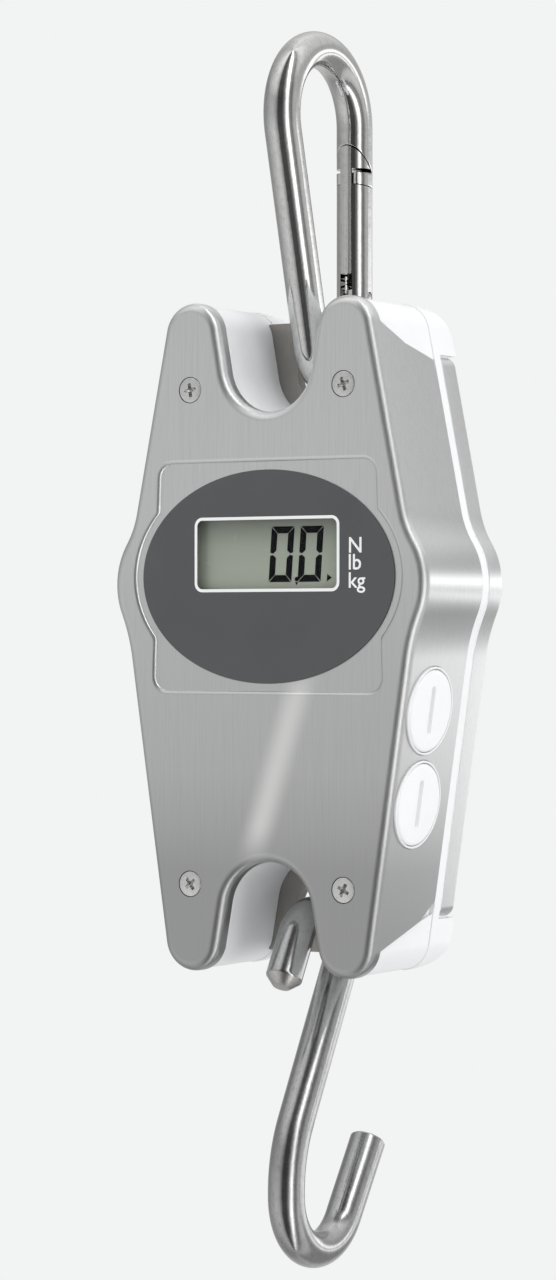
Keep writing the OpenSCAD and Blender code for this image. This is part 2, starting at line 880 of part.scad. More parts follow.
module tube_space(z)
    on_right_wall(z) {
        translate([0, 0, -cap_skirt - cap_contact_t])
            cylinder(r = cap_d / 2 + skin_gap, h = cap_skirt + 3, $fn = 64);
        translate([0, 0, -tube_bottom])
            cylinder(d = cell_d + cell_play, h = tube_bottom, $fn = 64);
    }
module battery_tubes() {
    color(WHITE_PLASTIC)
        at_body()
            difference() {
                union() {
                    for (z = cap_z)
                        on_right_wall(z) {
                            translate([0, 0, -tube_length])
                                cylinder(d = tube_d, h = tube_length - 1, $fn = 64);
                            translate([0, 0, -rim_depth])
                                cylinder(d = rim_d - 2 * skin_gap, h = rim_depth + rim_proud, $fn = 64);
                        }
                    on_right_wall(cap_z[1])
                        translate([cap_z[1] - cap_z[0], -tube_web_t / 2, rim_bore_depth - tube_length])
                            cube([cap_z[0] - cap_z[1], tube_web_t, tube_length - 2 * rim_bore_depth]);
                }
                for (z = cap_z)
                    tube_space(z);
            }
}
module battery(z, flip) {
    color([0.25, 0.27, 0.3])
        at_body()
            on_right_wall(z)
                translate([0, 0, -cap_skirt - cap_contact_t - cell_length / 2 - bore_gap])
                    mirror([0, 0, flip ? 1 : 0]) {
                        translate([0, 0, -cell_length / 2])
                            cylinder(d = cell_d, h = cell_length - cell_nib_h, $fn = 64);
                        translate([0, 0, cell_length / 2 - cell_nib_h - eps])
                            cylinder(d = cell_nib_d, h = cell_nib_h + eps, $fn = 32);
                    }
}
module battery_upper() { battery(cap_z[0], false); }
module battery_lower() { battery(cap_z[1], true); }
module cell_springs() {
    color(BRIGHT_STEEL)
        at_body()
            for (z = cap_z)
                on_right_wall(z)
                    translate([0, 0, spring_wire_r + bore_gap - tube_bottom])
                        wire([for (i = [0:12 * spring_turns])
                                 let (a = i * 30, r = spring_coil_r - i * 0.06)
                                 [r * cos(a), r * sin(a), i * 0.022]], spring_wire_r, 6);
}
// Bent wire through a list of points
module wire(points, r, sides) {
    n = len(points);
    rings = [for (i = [0:n - 1])
        let (ahead = points[min(i + 1, n - 1)] - points[max(i - 1, 0)],
             t = ahead / norm(ahead),
             u0 = cross(t, [0, 0, 1]),
             u = u0 / norm(u0),
             v = cross(u, t))
        [for (k = [0:sides - 1]) points[i] + r * (cos(k * 360 / sides) * u + sin(k * 360 / sides) * v)]];
    quads = [for (i = [0:n - 2], k = [0:sides - 1])
        let (a = i * sides + k, b = i * sides + (k + 1) % sides)
        each [[a, a + sides, b + sides], [a, b + sides, b]]];
    polyhedron(points = [for (ring = rings) each ring],
               faces = concat([[for (k = [0:sides - 1]) k]],
                              [[for (k = [sides - 1:-1:0]) (n - 1) * sides + k]], quads));
}

module cap(z) {
    color(WHITE_PLASTIC)
        at_body()
            on_right_wall(z)
                difference() {
                    translate([0, 0, -cap_skirt])
                        rotate_extrude($fn = 72)
                            polygon([[0, 0], [cap_d / 2, 0], [cap_d / 2, cap_skirt + cap_head - cap_round],
                                     [cap_d / 2 - cap_round, cap_skirt + cap_head],
                                     [0, cap_skirt + cap_head]]);
                    translate([0, 0, -seal_depth])
                        rotate_extrude($fn = 72)
                            translate([cap_d / 2 - seal_groove, -seal_r - skin_gap])
                                square([seal_groove + 1, 2 * (seal_r + skin_gap)]);
                    translate([-slot_length / 2, -slot_w / 2, cap_head - slot_depth])
                        cube([slot_length, slot_w, slot_depth + 1]);
                }
}
module cap_contact(z) {
    color(BRIGHT_STEEL)
        at_body()
            on_right_wall(z)
                translate([0, 0, -cap_skirt - cap_contact_t])
                    cylinder(r = cap_contact_r, h = cap_contact_t, $fn = 40);
}
module cap_seal(z) {
    color(RUBBER)
        at_body()
            on_right_wall(z)
                translate([0, 0, -seal_depth])
                    rotate_extrude($fn = 72)
                        translate([cap_d / 2 - seal_r - 0.02, 0])
                            circle(r = seal_r, $fn = 24);
}
module cap_upper() { cap(cap_z[0]); }
module cap_lower() { cap(cap_z[1]); }
module cap_contact_upper() { cap_contact(cap_z[0]); }
module cap_contact_lower() { cap_contact(cap_z[1]); }
module cap_seal_upper() { cap_seal(cap_z[0]); }
module cap_seal_lower() { cap_seal(cap_z[1]); }

module key(k) {
    color(WHITE_PLASTIC)
        at_body()
            on_left_wall(k * key_pitch)
                translate([0, 0, -skin_t - fit_gap - key_flange])
                    rotate_extrude($fn = 48)
                        polygon(concat(
                            [[0, 0], [key_flange_r, 0], [key_flange_r, key_flange], [key_d / 2, key_flange]],
                            arc([key_d / 2 - key_round, key_h - key_round], key_round, 0, 90, 5),
                            [[0, key_h]]));
}
module key_power() { key(1); }
module key_tare() { key(0); }
module key_unit() { key(-1); }
module key_switches() {
    color(RUBBER)
        at_body()
            for (k = [-1:1])
                on_left_wall(k * key_pitch) {
                    translate([-switch_w / 2, -switch_w / 2, -key_board_depth])
                        cube([switch_w, switch_w, switch_base_h]);
                    translate([0, 0, -key_board_depth])
                        cylinder(r = switch_r, h = switch_h, $fn = 24);
                }
}
module key_board() {
    color(BOARD_GREEN)
        at_body()
            on_left_wall(0)
                translate([-key_board_l / 2, -key_board_w / 2, -key_board_depth - key_board_t])
                    cube([key_board_l, key_board_w, key_board_t]);
}

module front_screws() {
    color(BRIGHT_STEEL)
        at_body()
            four_corners(screw_x, screw_z)
                out_of_front()
                    countersunk_screw(front_screw_length);
}
module rear_screws() {
    color(BRIGHT_STEEL)
        at_body()
            four_corners(screw_x, screw_z)
                out_of_back()
                    countersunk_screw(rear_screw_length);
}

// Rods bent in the y-z plane
module in_side_plane(c)
    translate([0, c[0], c[1]])
        rotate([90, 0, 90])
            children();
module bend(c, r, a0, a1)
    in_side_plane(c)
        rotate_extrude(angle = a1 - a0, start = a0, $fn = 96)
            translate([r, 0])
                circle(r = rod_r, $fn = 48);
// A straight length, a hair slimmer than the bends that its ends run into
module leg(p0, p1, lap0 = rod_lap, lap1 = rod_lap, rod = rod_r - rod_step)
    translate([0, p0[0], p0[1]])
        rotate([-atan2(p1[0] - p0[0], p1[1] - p0[1]), 0, 0])
            translate([0, 0, -lap0])
                cylinder(r = rod, h = norm(p1 - p0) + lap0 + lap1, $fn = 48);
// A straight length that ends in a chamfer
module rod_end(p0, p1, chamfer)
    translate([0, p0[0], p0[1]])
        rotate([-atan2(p1[0] - p0[0], p1[1] - p0[1]), 0, 0])
            rotate_extrude($fn = 48)
                let (rod = rod_r - rod_step, reach = norm(p1 - p0))
                polygon([[0, -rod_lap], [rod, -rod_lap], [rod, reach],
                         [rod - chamfer, reach + chamfer], [0, reach + chamfer]]);

// A side view of the latch, as distance behind the gate's axis and height, cut from x0 to x1
module latch_profile(points, x0 = -10, x1 = 10)
    translate([x0, gate_y, 0])
        rotate([90, 0, 90])
            linear_extrude(height = x1 - x0)
                polygon(points);
// Everything above the slanted line on which the nose and the wedge meet
module above_wedge(drop)
    latch_profile([[-8, nose_z + 8 * nose_slope - drop], [8, nose_z - 8 * nose_slope - drop], [8, 0], [-8, 0]]);
// Height of the underside of the nose's heads
function head_floor(y, drop) = head_bottom_z - drop - head_slope * y;

module nose() {
    fork = [[head_y, head_floor(head_y, 0)], [8, head_floor(8, 0)], [8, nose_z],
            [fork_y, nose_z], [fork_y, head_top_z], [head_y, head_top_z]];
    intersection() {
        leg([gate_y, head_bottom_z - 3], [gate_y, bow_z]);
        latch_profile([[-8, head_floor(-8, 0)], [8, head_floor(8, 0)], [8, 0], [-8, 0]]);
        union() {
            above_wedge(0);
            latch_profile(fork, core_half_w + head_gap, 10);
            latch_profile(fork, -10, -core_half_w - head_gap);
            latch_profile([[fork_back_y, head_floor(fork_back_y, 0)], [8, head_floor(8, 0)],
                           [8, nose_z], [fork_back_y, nose_z]]);
        }
    }
}
module snap_hook_body() {
    lean = asin((bow_r - tail_r) / norm([tail_y, bow_z - tail_z])) + atan2(tail_y, bow_z - tail_z);
    color(BRIGHT_STEEL)
        difference() {
            union() {
                bend([0, bow_z], bow_r, 0, 180 + lean);
                bend([tail_y, tail_z], tail_r, 180 + lean, 360);
                leg(polar([0, bow_z], bow_r, 180 + lean), polar([tail_y, tail_z], tail_r, 180 + lean));
                leg([gate_y, tail_z], [gate_y, shoulder_z], lap1 = 0);
                nose();
                intersection() {
                    leg([gate_y, shoulder_z - 1], [gate_y, pivot_z + tongue_top], rod = tongue_r);
                    in_side_plane([gate_y, pivot_z])
                        translate([0, 0, -tongue_t / 2])
                            linear_extrude(height = tongue_t)
                                hinge_tongue_shape();
                }
            }
            translate([-10, gate_y, pivot_z])
                rotate([0, 90, 0])
                    cylinder(r = gate_pin_r + rod_step, h = 20, $fn = 32);
        }
}
module hinge_tongue_shape() {
    circle(r = tongue_top, $fn = 48);
    translate([-tongue_top, -8])
        square([2 * tongue_top, 8]);
}
module snap_hook_gate() {
    core_foot = head_floor(core_y, head_gap);
    pocket = [[-8, wedge_bottom_z], [-8, head_floor(-8, head_gap)],
              [8, head_floor(8, head_gap)], [8, wedge_bottom_z]];
    color(BRIGHT_STEEL)
        difference() {
            leg([gate_y, gate_bottom_z], [gate_y, nose_z + 8], lap0 = 0);
            above_wedge(fit_gap);
            latch_profile(pocket, core_half_w, 10);
            latch_profile(pocket, -10, -core_half_w);
            latch_profile([[core_y, core_foot], [8, head_floor(8, head_gap)], [8, 0], [core_y, 0]]);
            translate([-slot_half_w, gate_y - 10, gate_bottom_z - 1])
                cube([2 * slot_half_w, 20, slot_top_z - gate_bottom_z + 1]);
            translate([0, gate_y, pivot_z])
                cylinder(r = spring_bore_r, h = spring_bore_top - pivot_z, $fn = 32);
            translate([-10, gate_y, pivot_z])
                rotate([0, 90, 0])
                    cylinder(r = gate_pin_r + bore_gap, h = 20, $fn = 32);
        }
}
module gate_pin() {
    color(STEEL)
        translate([0.1 - rod_r, gate_y, pivot_z])
            rotate([0, 90, 0])
                cylinder(r = gate_pin_r, h = rod_d - 0.2, $fn = 32);
}
module gate_spring() {
    color(STEEL)
        translate([0, gate_y, pivot_z + tongue_top + spring_wire + head_gap])
            wire([for (i = [0:60])
                     let (a = i * 36, rise = spring_bore_top - pivot_z - tongue_top - 2 * (spring_wire + head_gap))
                     [spring_r * cos(a), spring_r * sin(a), i * rise / 60]], spring_wire, 6);
}

module load_hook() {
    rise = [polar(hook_front, hook_r, 90), polar(hook_rear, hook_r, 90)];
    free_top = polar(hook_front, hook_r, 180 - hook_lean);
    free_end = free_top - free_length * [sin(hook_lean), cos(hook_lean)];
    stem_top = polar(hook_rear, hook_r, -hook_lean);
    stem_bottom = polar(sweep_c, sweep_r, 180 - hook_lean);
    tip_bottom = polar(throat_c, throat_r, -tip_lean);
    tip_end = tip_bottom + tip_length * [sin(tip_lean), cos(tip_lean)];
    color(STEEL)
        at_body() {
            rod_end(free_top, free_end, 2.1);
            bend(hook_front, hook_r, 90, 180 - hook_lean);
            leg(rise[0], rise[1]);
            bend(hook_rear, hook_r, -hook_lean, 90);
            leg(stem_bottom, stem_top);
            bend(sweep_c, sweep_r, 180 - hook_lean, 180);
            leg([throat_c[0] - throat_r, throat_c[1]], [throat_c[0] - throat_r, sweep_z]);
            bend(throat_c, throat_r, 180, 360 - tip_lean);
            rod_end(tip_bottom, tip_end, 0.5);
        }
}

front_cover();
rear_cover();
front_housing();
rear_housing();
housing_gasket();
lug_seals();
front_label();
display_window();
lcd_panel();
lcd_frame();
lcd_strips();
main_board();
board_parts();
board_screws();
load_cell();
strain_gauges();
gauge_flex();
load_cell_screws();
battery_tubes();
cell_springs();
battery_upper();
battery_lower();
cap_upper();
cap_lower();
cap_contact_upper();
cap_contact_lower();
cap_seal_upper();
cap_seal_lower();
key_power();
key_tare();
key_unit();
key_board();
key_switches();
front_screws();
rear_screws();
snap_hook_body();
snap_hook_gate();
gate_pin();
gate_spring();
load_hook();
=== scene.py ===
import math

import bmesh
import bpy
from mathutils import Matrix, Vector


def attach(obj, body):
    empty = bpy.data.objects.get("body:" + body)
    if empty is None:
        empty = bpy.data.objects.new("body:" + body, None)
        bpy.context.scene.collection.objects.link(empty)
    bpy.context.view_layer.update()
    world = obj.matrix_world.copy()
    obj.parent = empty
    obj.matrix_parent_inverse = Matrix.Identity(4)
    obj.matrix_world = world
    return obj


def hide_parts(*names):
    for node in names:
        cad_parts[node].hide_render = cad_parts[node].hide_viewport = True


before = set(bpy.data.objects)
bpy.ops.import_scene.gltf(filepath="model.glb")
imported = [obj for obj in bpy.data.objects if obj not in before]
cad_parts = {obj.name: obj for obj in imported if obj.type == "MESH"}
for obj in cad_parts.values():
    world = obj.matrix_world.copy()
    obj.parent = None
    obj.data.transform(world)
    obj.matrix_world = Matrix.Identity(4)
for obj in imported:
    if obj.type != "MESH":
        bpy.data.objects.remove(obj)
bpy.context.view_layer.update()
MM = 0.001

# ---- dimensions, as in the CAD, in mm
BODY_Y, BODY_Z = -4.5, -124.4
FRONT, BACK = -17.75, 17.75
SEAM, REAR_COVER = 7.45, 10.25
LOBE_TIP, LOBE_X, LOBE_R = 72.3, 19.2, 7.0
LOBE_Z = LOBE_TIP - LOBE_R
BULGE_X, BULGE_Z, BULGE_R = 39.2, 11.4, 17.0
UPPER_TAPER, LOWER_TAPER = 11.3, 8.4
UPPER_BLEND, LOWER_BLEND = 20.0, 40.0
NOTCH_Z, NOTCH_FLARE = 48.2, 10.2
SKIN, EDGE, FLANGE = 1.0, 2.2, 4.0
SLANT_LOW, SLANT_HIGH = 59.6, 64.9
REAR_TOP, REAR_TOP_R = 61.0, 3.0
LABEL_Z, DISPLAY_Z = 12.9, 17.7
LABEL_FACE, LCD_FACE = FRONT + 0.27, FRONT + 2.35
CAP_Z, CAP_Y = (-15.6, -35.5), -6.4
KEY_Z, KEY_Y, KEY_PITCH = 35.0, -5.0, 8.0
SCREWS = [(sx * 19.2, sz * 53.4) for sx in (-1, 1) for sz in (-1, 1)]
ROD = 4.0


def sind(a):
    return math.sin(math.radians(a))


def cosd(a):
    return math.cos(math.radians(a))


NOTCH_R = ((cosd(NOTCH_FLARE) * LOBE_X - sind(NOTCH_FLARE) * (LOBE_Z - NOTCH_Z) - LOBE_R)
           / (1 - sind(NOTCH_FLARE)))


def polar(c, r, a):
    return (c[0] + r * cosd(a), c[1] + r * sind(a))


def arc(c, r, a0, a1, n):
    return [polar(c, r, a0 + (a1 - a0) * i / n) for i in range(n + 1)]


def side_offset(taper):
    return cosd(taper) * LOBE_X + sind(taper) * LOBE_Z + LOBE_R


def side_point(taper, z, inset=0.0):
    d = side_offset(taper) - inset
    u = (z - sind(taper) * d) / cosd(taper)
    return (cosd(taper) * d - sind(taper) * u, z)


def quarter(taper, blend_r, widest_z, inset, top):
    """Outline from the widest point up to the middle of the end; top cuts the lobe off level."""
    bulge = Vector((BULGE_X - BULGE_R, widest_z))
    normal, along = Vector((cosd(taper), sind(taper))), Vector((-sind(taper), cosd(taper)))
    depth = side_offset(taper) - normal.dot(bulge)
    reach = math.sqrt((BULGE_R + blend_r) ** 2 - (blend_r + depth) ** 2)
    blend = normal * (side_offset(taper) + blend_r) + along * (along.dot(bulge) + reach)
    meet = math.degrees(math.atan2(blend.y - bulge.y, blend.x - bulge.x))
    pts = arc(bulge, BULGE_R - inset, 0, meet, 14)
    pts += arc(blend, blend_r + inset, 180 + meet, 180 + taper, 14)[1:]
    last = pts[-1][1]
    stop = LOBE_Z if top is None else top - REAR_TOP_R
    for i in range(1, 14):
        pts.append(side_point(taper, last + (stop - last) * i / 14, inset))
    if top is None:
        pts += arc((LOBE_X, LOBE_Z), LOBE_R - inset, taper, 180 - NOTCH_FLARE, 34)
        foot = polar((0, NOTCH_Z + NOTCH_R), NOTCH_R + inset, -NOTCH_FLARE)
        p = pts[-1]
        pts += [(p[0] + (foot[0] - p[0]) * k / 5, p[1] + (foot[1] - p[1]) * k / 5) for k in range(1, 5)]
    else:
        r = REAR_TOP_R
        cz = top - r
        ox = (side_offset(taper) - r - sind(taper) * cz) / cosd(taper)
        side = LOBE_R - cosd(NOTCH_FLARE) * LOBE_X + sind(NOTCH_FLARE) * LOBE_Z
        ix = (sind(NOTCH_FLARE) * cz + r - side) / cosd(NOTCH_FLARE)
        pts += arc((ox, cz), r - inset, taper, 90, 10)
        pts += arc((ix, cz), r - inset, 90, 180 - NOTCH_FLARE, 10)
    pts += arc((0, NOTCH_Z + NOTCH_R), NOTCH_R + inset, -NOTCH_FLARE, -90, 24)
    return pts


def outline(inset=0.0, top=None):
    """Closed outline of the housing in x and z, counter-clockwise seen from the front."""
    upper = quarter(UPPER_TAPER, UPPER_BLEND, BULGE_Z, inset, top)
    lower = [(x, -z) for x, z in quarter(LOWER_TAPER, LOWER_BLEND, -BULGE_Z, inset, top)]
    right = lower[:0:-1] + upper
    left = [(-x, z) for x, z in right[-2:0:-1]]
    return right + left


def at_body(x, y, z):
    return Vector((x, y + BODY_Y, z + BODY_Z)) * MM


# ---- building helpers
def new_object(name, mesh):
    obj = bpy.data.objects.new(name, mesh)
    bpy.context.scene.collection.objects.link(obj)
    return obj


def mesh_object(name, verts, faces, smooth=True):
    mesh = bpy.data.meshes.new(name)
    mesh.from_pydata([tuple(v) for v in verts], [], faces)
    bm = bmesh.new()
    bm.from_mesh(mesh)
    bmesh.ops.remove_doubles(bm, verts=bm.verts, dist=1e-7)
    bmesh.ops.recalc_face_normals(bm, faces=bm.faces)
    bm.to_mesh(mesh)
    bm.free()
    if smooth:
        mesh.polygons.foreach_set("use_smooth", [True] * len(mesh.polygons))
    mesh.update()
    return new_object(name, mesh)


def bake(obj):
    """Applies the modifiers."""
    bpy.context.view_layer.update()
    graph = bpy.context.evaluated_depsgraph_get()
    mesh = bpy.data.meshes.new_from_object(obj.evaluated_get(graph), preserve_all_data_layers=True,
                                           depsgraph=graph)
    old = obj.data
    obj.modifiers.clear()
    obj.data = mesh
    mesh.name = obj.name
    bpy.data.meshes.remove(old)
    return obj


def remove(obj):
    data = obj.data
    bpy.data.objects.remove(obj)
    bpy.data.meshes.remove(data)


def cut(obj, cutters, operation="DIFFERENCE"):
    """Applies exact booleans with the cutters, which are used up."""
    for c in cutters:
        m = obj.modifiers.new("cut", "BOOLEAN")
        m.operation = operation
        m.solver = "EXACT"
        m.object = c
    bake(obj)
    for c in cutters:
        remove(c)
    return obj


def finish_mesh(obj, bevel, segments, angle):
    """Softens sharp edges by a bevel in mm and shades smoothly up to an angle."""
    if bevel:
        m = obj.modifiers.new("bevel", "BEVEL")
        m.width = bevel * MM
        m.segments = segments
        m.limit_method = "ANGLE"
        m.angle_limit = math.radians(angle)
        bake(obj)
    mesh = obj.data
    mesh.polygons.foreach_set("use_smooth", [True] * len(mesh.polygons))
    bm = bmesh.new()
    bm.from_mesh(mesh)
    limit = math.radians(angle)
    for e in bm.edges:
        e.smooth = not (len(e.link_faces) == 2 and e.calc_face_angle(0) > limit)
    bm.to_mesh(mesh)
    bm.free()
    m = obj.modifiers.new("normals", "WEIGHTED_NORMAL")
    m.keep_sharp = True
    m.weight = 60
    bake(obj)
    return obj


def place(obj, body, material, slot, *replaced):
    """Ties a piece to its body, its material and the CAD nodes it stands in for; the slot argument is not
    used.
    """
    obj.data.materials.clear()
    obj.data.materials.append(material)
    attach(obj, body)
    if replaced:
        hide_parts(*replaced)
    return obj


def loft(name, rings, smooth=True):
    """A closed skin through rings of points; each ring has the same number of points."""
    n = len(rings[0])
    verts = [v for r in rings for v in r]
    faces = []
    for i in range(len(rings) - 1):
        for j in range(n):
            a, b = i * n + j, i * n + (j + 1) % n
            faces.append((a, b, b + n, a + n))
    faces.append(tuple(range(n - 1, -1, -1)))
    faces.append(tuple((len(rings) - 1) * n + j for j in range(n)))
    return mesh_object(name, verts, faces, smooth)


def ring(points, y):
    """y is one depth, or a function of the point."""
    return [at_body(x, y(x, z) if callable(y) else y, z) for x, z in points]


def prism(name, points, y0, y1):
    return loft(name, [ring(points, y0), ring(points, y1)], smooth=False)


def on(m, points, h):
    """Points in mm on the level h of the matrix m."""
    return [m @ (Vector((x, y, h)) * MM) for x, y in points]


def lathe(name, profile, m, segments, smooth=True):
    """Turns (radius, height) points about the matrix's z axis, in mm."""
    verts, faces = [], []
    n = segments
    for r, h in profile:
        angles = [2 * math.pi * k / n for k in range(n)]
        verts += on(m, [(r * math.cos(a), r * math.sin(a)) for a in angles], h)
    rows = len(profile)
    for i in range(rows - 1):
        for k in range(n):
            a, b = i * n + k, i * n + (k + 1) % n
            faces.append((a, b, b + n, a + n))
    if profile[0][0] > 1e-6:
        faces.append(tuple(range(n - 1, -1, -1)))
    if profile[-1][0] > 1e-6:
        faces.append(tuple((rows - 1) * n + k for k in range(n)))
    return mesh_object(name, verts, faces, smooth)


def cylinder(name, r, h0, h1, m, segments, r1=None):
    return lathe(name, [(r, h0), (r if r1 is None else r1, h1)], m, segments, smooth=False)


def cuboid(name, lo, hi):
    (x0, y0, z0), (x1, y1, z1) = lo, hi
    corners = [(x, y, z) for z in (z0, z1) for x, y in ((x0, y0), (x1, y0), (x1, y1), (x0, y1))]
    faces = [(0, 3, 2, 1), (4, 5, 6, 7), (0, 1, 5, 4), (1, 2, 6, 5), (2, 3, 7, 6), (3, 0, 4, 7)]
    return mesh_object(name, [Vector(p) * MM for p in corners], faces, smooth=False)


def basis(origin, z_axis, x_hint):
    z = Vector(z_axis).normalized()
    x = (Vector(x_hint) - z * Vector(x_hint).dot(z)).normalized()
    y = z.cross(x)
    m = Matrix((x, y, z)).transposed().to_4x4()
    m.translation = origin
    return m


def front_basis(x, z, depth=0.0):
    return basis(at_body(x, FRONT + depth, z), (0, -1, 0), (1, 0, 0))


def back_basis(x, z, depth=0.0):
    return basis(at_body(x, BACK - depth, z), (0, 1, 0), (1, 0, 0))


def right_wall(z):
    """z axis out of the lower right side wall, x axis up along it."""
    p = side_point(LOWER_TAPER, -z)
    n = Vector((cosd(LOWER_TAPER), 0, -sind(LOWER_TAPER)))
    up = Vector((sind(LOWER_TAPER), 0, cosd(LOWER_TAPER)))
    return basis(at_body(p[0], CAP_Y, z), n, up)


def left_wall(u):
    """z axis out of the upper left side wall, x axis up along it, u mm from the middle key."""
    p = side_point(UPPER_TAPER, KEY_Z)
    n = Vector((-cosd(UPPER_TAPER), 0, sind(UPPER_TAPER)))
    up = Vector((sind(UPPER_TAPER), 0, cosd(UPPER_TAPER)))
    return basis(at_body(-p[0], KEY_Y, KEY_Z) + up * (u * MM), n, up)


def rounded_rect(w, h, r, n=8):
    pts = []
    for sx, sy, a in ((1, 1, 0), (-1, 1, 90), (-1, -1, 180), (1, -1, 270)):
        pts += arc((sx * (w / 2 - r), sy * (h / 2 - r)), r, a, a + 90, n)
    return pts


def raised(points, dz):
    return [(x, z + dz) for x, z in points]


# ---- materials
def shade(colour, k):
    return tuple(min(1, k * c) for c in colour)


class Tree:
    """A short way to write a node tree."""

    def __init__(self, tree):
        self.tree = tree
        self.coords = self.node("ShaderNodeTexCoord")

    def node(self, kind, **props):
        n = self.tree.nodes.new(kind)
        for k, v in props.items():
            setattr(n, k, v)
        return n

    def link(self, a, b):
        self.tree.links.new(a, b)

    def ramp(self, fac, stops, interpolation="LINEAR"):
        r = self.node("ShaderNodeValToRGB")
        r.color_ramp.interpolation = interpolation
        while len(r.color_ramp.elements) < len(stops):
            r.color_ramp.elements.new(0.5)
        for e, (pos, col) in zip(r.color_ramp.elements, stops):
            e.position = pos
            e.color = (*col, 1) if hasattr(col, "__len__") else (col, col, col, 1)
        self.link(fac, r.inputs["Fac"])
        return r.outputs["Color"]

    def math(self, op, a, b=0.0, clamp=False):
        m = self.node("ShaderNodeMath", operation=op, use_clamp=clamp)
        for i, v in enumerate((a, b)):
            if isinstance(v, (int, float)):
                m.inputs[i].default_value = v
            else:
                self.link(v, m.inputs[i])
        return m.outputs[0]

    def linear(self, value, factor, plus):
        return self.math("ADD", self.math("MULTIPLY", value, factor), plus)

    def apart(self, output):
        """The x, y and z of the coordinates."""
        sep = self.node("ShaderNodeSeparateXYZ")
        self.link(self.coords.outputs[output], sep.inputs["Vector"])
        return sep.outputs["X"], sep.outputs["Y"], sep.outputs["Z"]


class Nodes(Tree):
    """The node tree of a new material."""

    def __init__(self, name):
        self.material = bpy.data.materials.new(name)
        self.material.use_nodes = True
        super().__init__(self.material.node_tree)
        self.shader = self.tree.nodes["Principled BSDF"]

    def set(self, **values):
        for key, value in values.items():
            self.shader.inputs[key.replace("_", " ")].default_value = value
        return self

    def mapped(self, scale):
        m = self.node("ShaderNodeMapping")
        m.inputs["Scale"].default_value = scale
        self.link(self.coords.outputs["Object"], m.inputs["Vector"])
        return m.outputs["Vector"]

    def noise(self, scale, detail=4.0, rough=0.5, stretch=(1, 1, 1)):
        n = self.node("ShaderNodeTexNoise")
        n.inputs["Scale"].default_value = scale
        n.inputs["Detail"].default_value = detail
        n.inputs["Roughness"].default_value = rough
        self.link(self.mapped(stretch), n.inputs["Vector"])
        return n.outputs["Fac"]

    def mix(self, fac, a, b):
        m = self.node("ShaderNodeMix", data_type="RGBA")
        for socket, v in ((m.inputs[0], fac), (m.inputs[6], a), (m.inputs[7], b)):
            if isinstance(v, (int, float)):
                socket.default_value = v
            elif isinstance(v, tuple):
                socket.default_value = (*v, 1)
            else:
                self.link(v, socket)
        return m.outputs[2]

    def bump(self, height, strength, distance, below=None):
        b = self.node("ShaderNodeBump")
        b.inputs["Strength"].default_value = strength
        b.inputs["Distance"].default_value = distance
        self.link(height, b.inputs["Height"])
        if below is not None:
            self.link(below, b.inputs["Normal"])
        return b.outputs["Normal"]

    def wire(self, **inputs):
        for key, value in inputs.items():
            self.link(value, self.shader.inputs[key.replace("_", " ")])
        return self


def brushed_sheet(name, tint, along=0.012, rough=0.33, painted_light=None):
    """Stainless sheet with a grain along z, which blurs reflections sideways."""
    n = Nodes(name).set(Metallic=1.0, Specular_IOR_Level=0.5, Anisotropic=0.75)
    fine = n.noise(9000, 3, 0.6, (1, 1, along))
    coarse = n.noise(1900, 4, 0.65, (1, 1, along * 1.6))
    cloud = n.noise(26, 3, 0.5, (1, 1, 0.35))
    grain = n.math("ADD", n.math("MULTIPLY", fine, 0.62), n.math("MULTIPLY", coarse, 0.38))
    base = n.ramp(grain, [(0.36, shade(tint, 0.9)), (0.5, tint), (0.66, shade(tint, 1.06))])
    base = n.mix(n.math("MULTIPLY", cloud, 0.14), base, shade(tint, 0.82))
    # painted light: this function, when given, paints shade and a highlight band into the base colour
    if painted_light:
        base = painted_light(n, base, tint)
    tangent = n.node("ShaderNodeTangent", direction_type="RADIAL", axis="Z")
    n.wire(Base_Color=base, Roughness=n.linear(grain, 0.13, rough),
           Normal=n.bump(grain, 0.12, 0.00004), Tangent=tangent.outputs["Tangent"])
    return n.material


def painted_light_on_cover(n, base, tint):
    """Painted shade, darker towards the lower lobes, with a painted highlight: a soft lighter band on the
    lower front.
    """
    x, y, height = n.apart("Object")
    z = n.math("SUBTRACT", height, BODY_Z * MM)
    level = n.math("DIVIDE", n.math("ADD", z, LOBE_TIP * MM), 2 * LOBE_TIP * MM, clamp=True)
    # painted shade: darker towards the lower lobes, and a little more on the flanks
    low = n.ramp(level, [(0.0, 0.76), (0.153, 0.74), (0.22, 0.54), (0.3, 0.36),
                         (0.5, 0.22), (0.66, 0.08), (0.8, 0.04)])
    flank = n.math("GREATER_THAN", y, (BODY_Y + FRONT + EDGE) * MM)
    low = n.math("MULTIPLY", low, n.linear(flank, 0.1, 1.0), clamp=True)
    base = n.mix(low, base, shade(tint, 0.45))
    # painted highlight: a soft light band on the lower front, in place of a reflection
    band_x, band_z, half_width, half_length, lean_of_band = 0.002, -0.027, 0.0052, 0.023, 0.32
    leaning = n.math("SUBTRACT", x, n.math("MULTIPLY", n.math("ADD", z, 0.030), lean_of_band))
    across = n.math("DIVIDE", n.math("ABSOLUTE", n.math("SUBTRACT", leaning, band_x)), half_width, clamp=True)
    along = n.math("DIVIDE", n.math("ABSOLUTE", n.math("ADD", z, -band_z)), half_length, clamp=True)
    front = n.math("LESS_THAN", y, (BODY_Y + FRONT + 1.0) * MM)
    sides = n.ramp(across, [(0.0, 1.0), (1.0, 0.0)], "EASE")
    ends = n.ramp(along, [(0.55, 1.0), (1.0, 0.0)], "EASE")
    band = n.math("MULTIPLY", n.math("MULTIPLY", sides, ends), front)
    return n.mix(n.math("MULTIPLY", band, 0.85), base, (0.97, 0.97, 0.96))


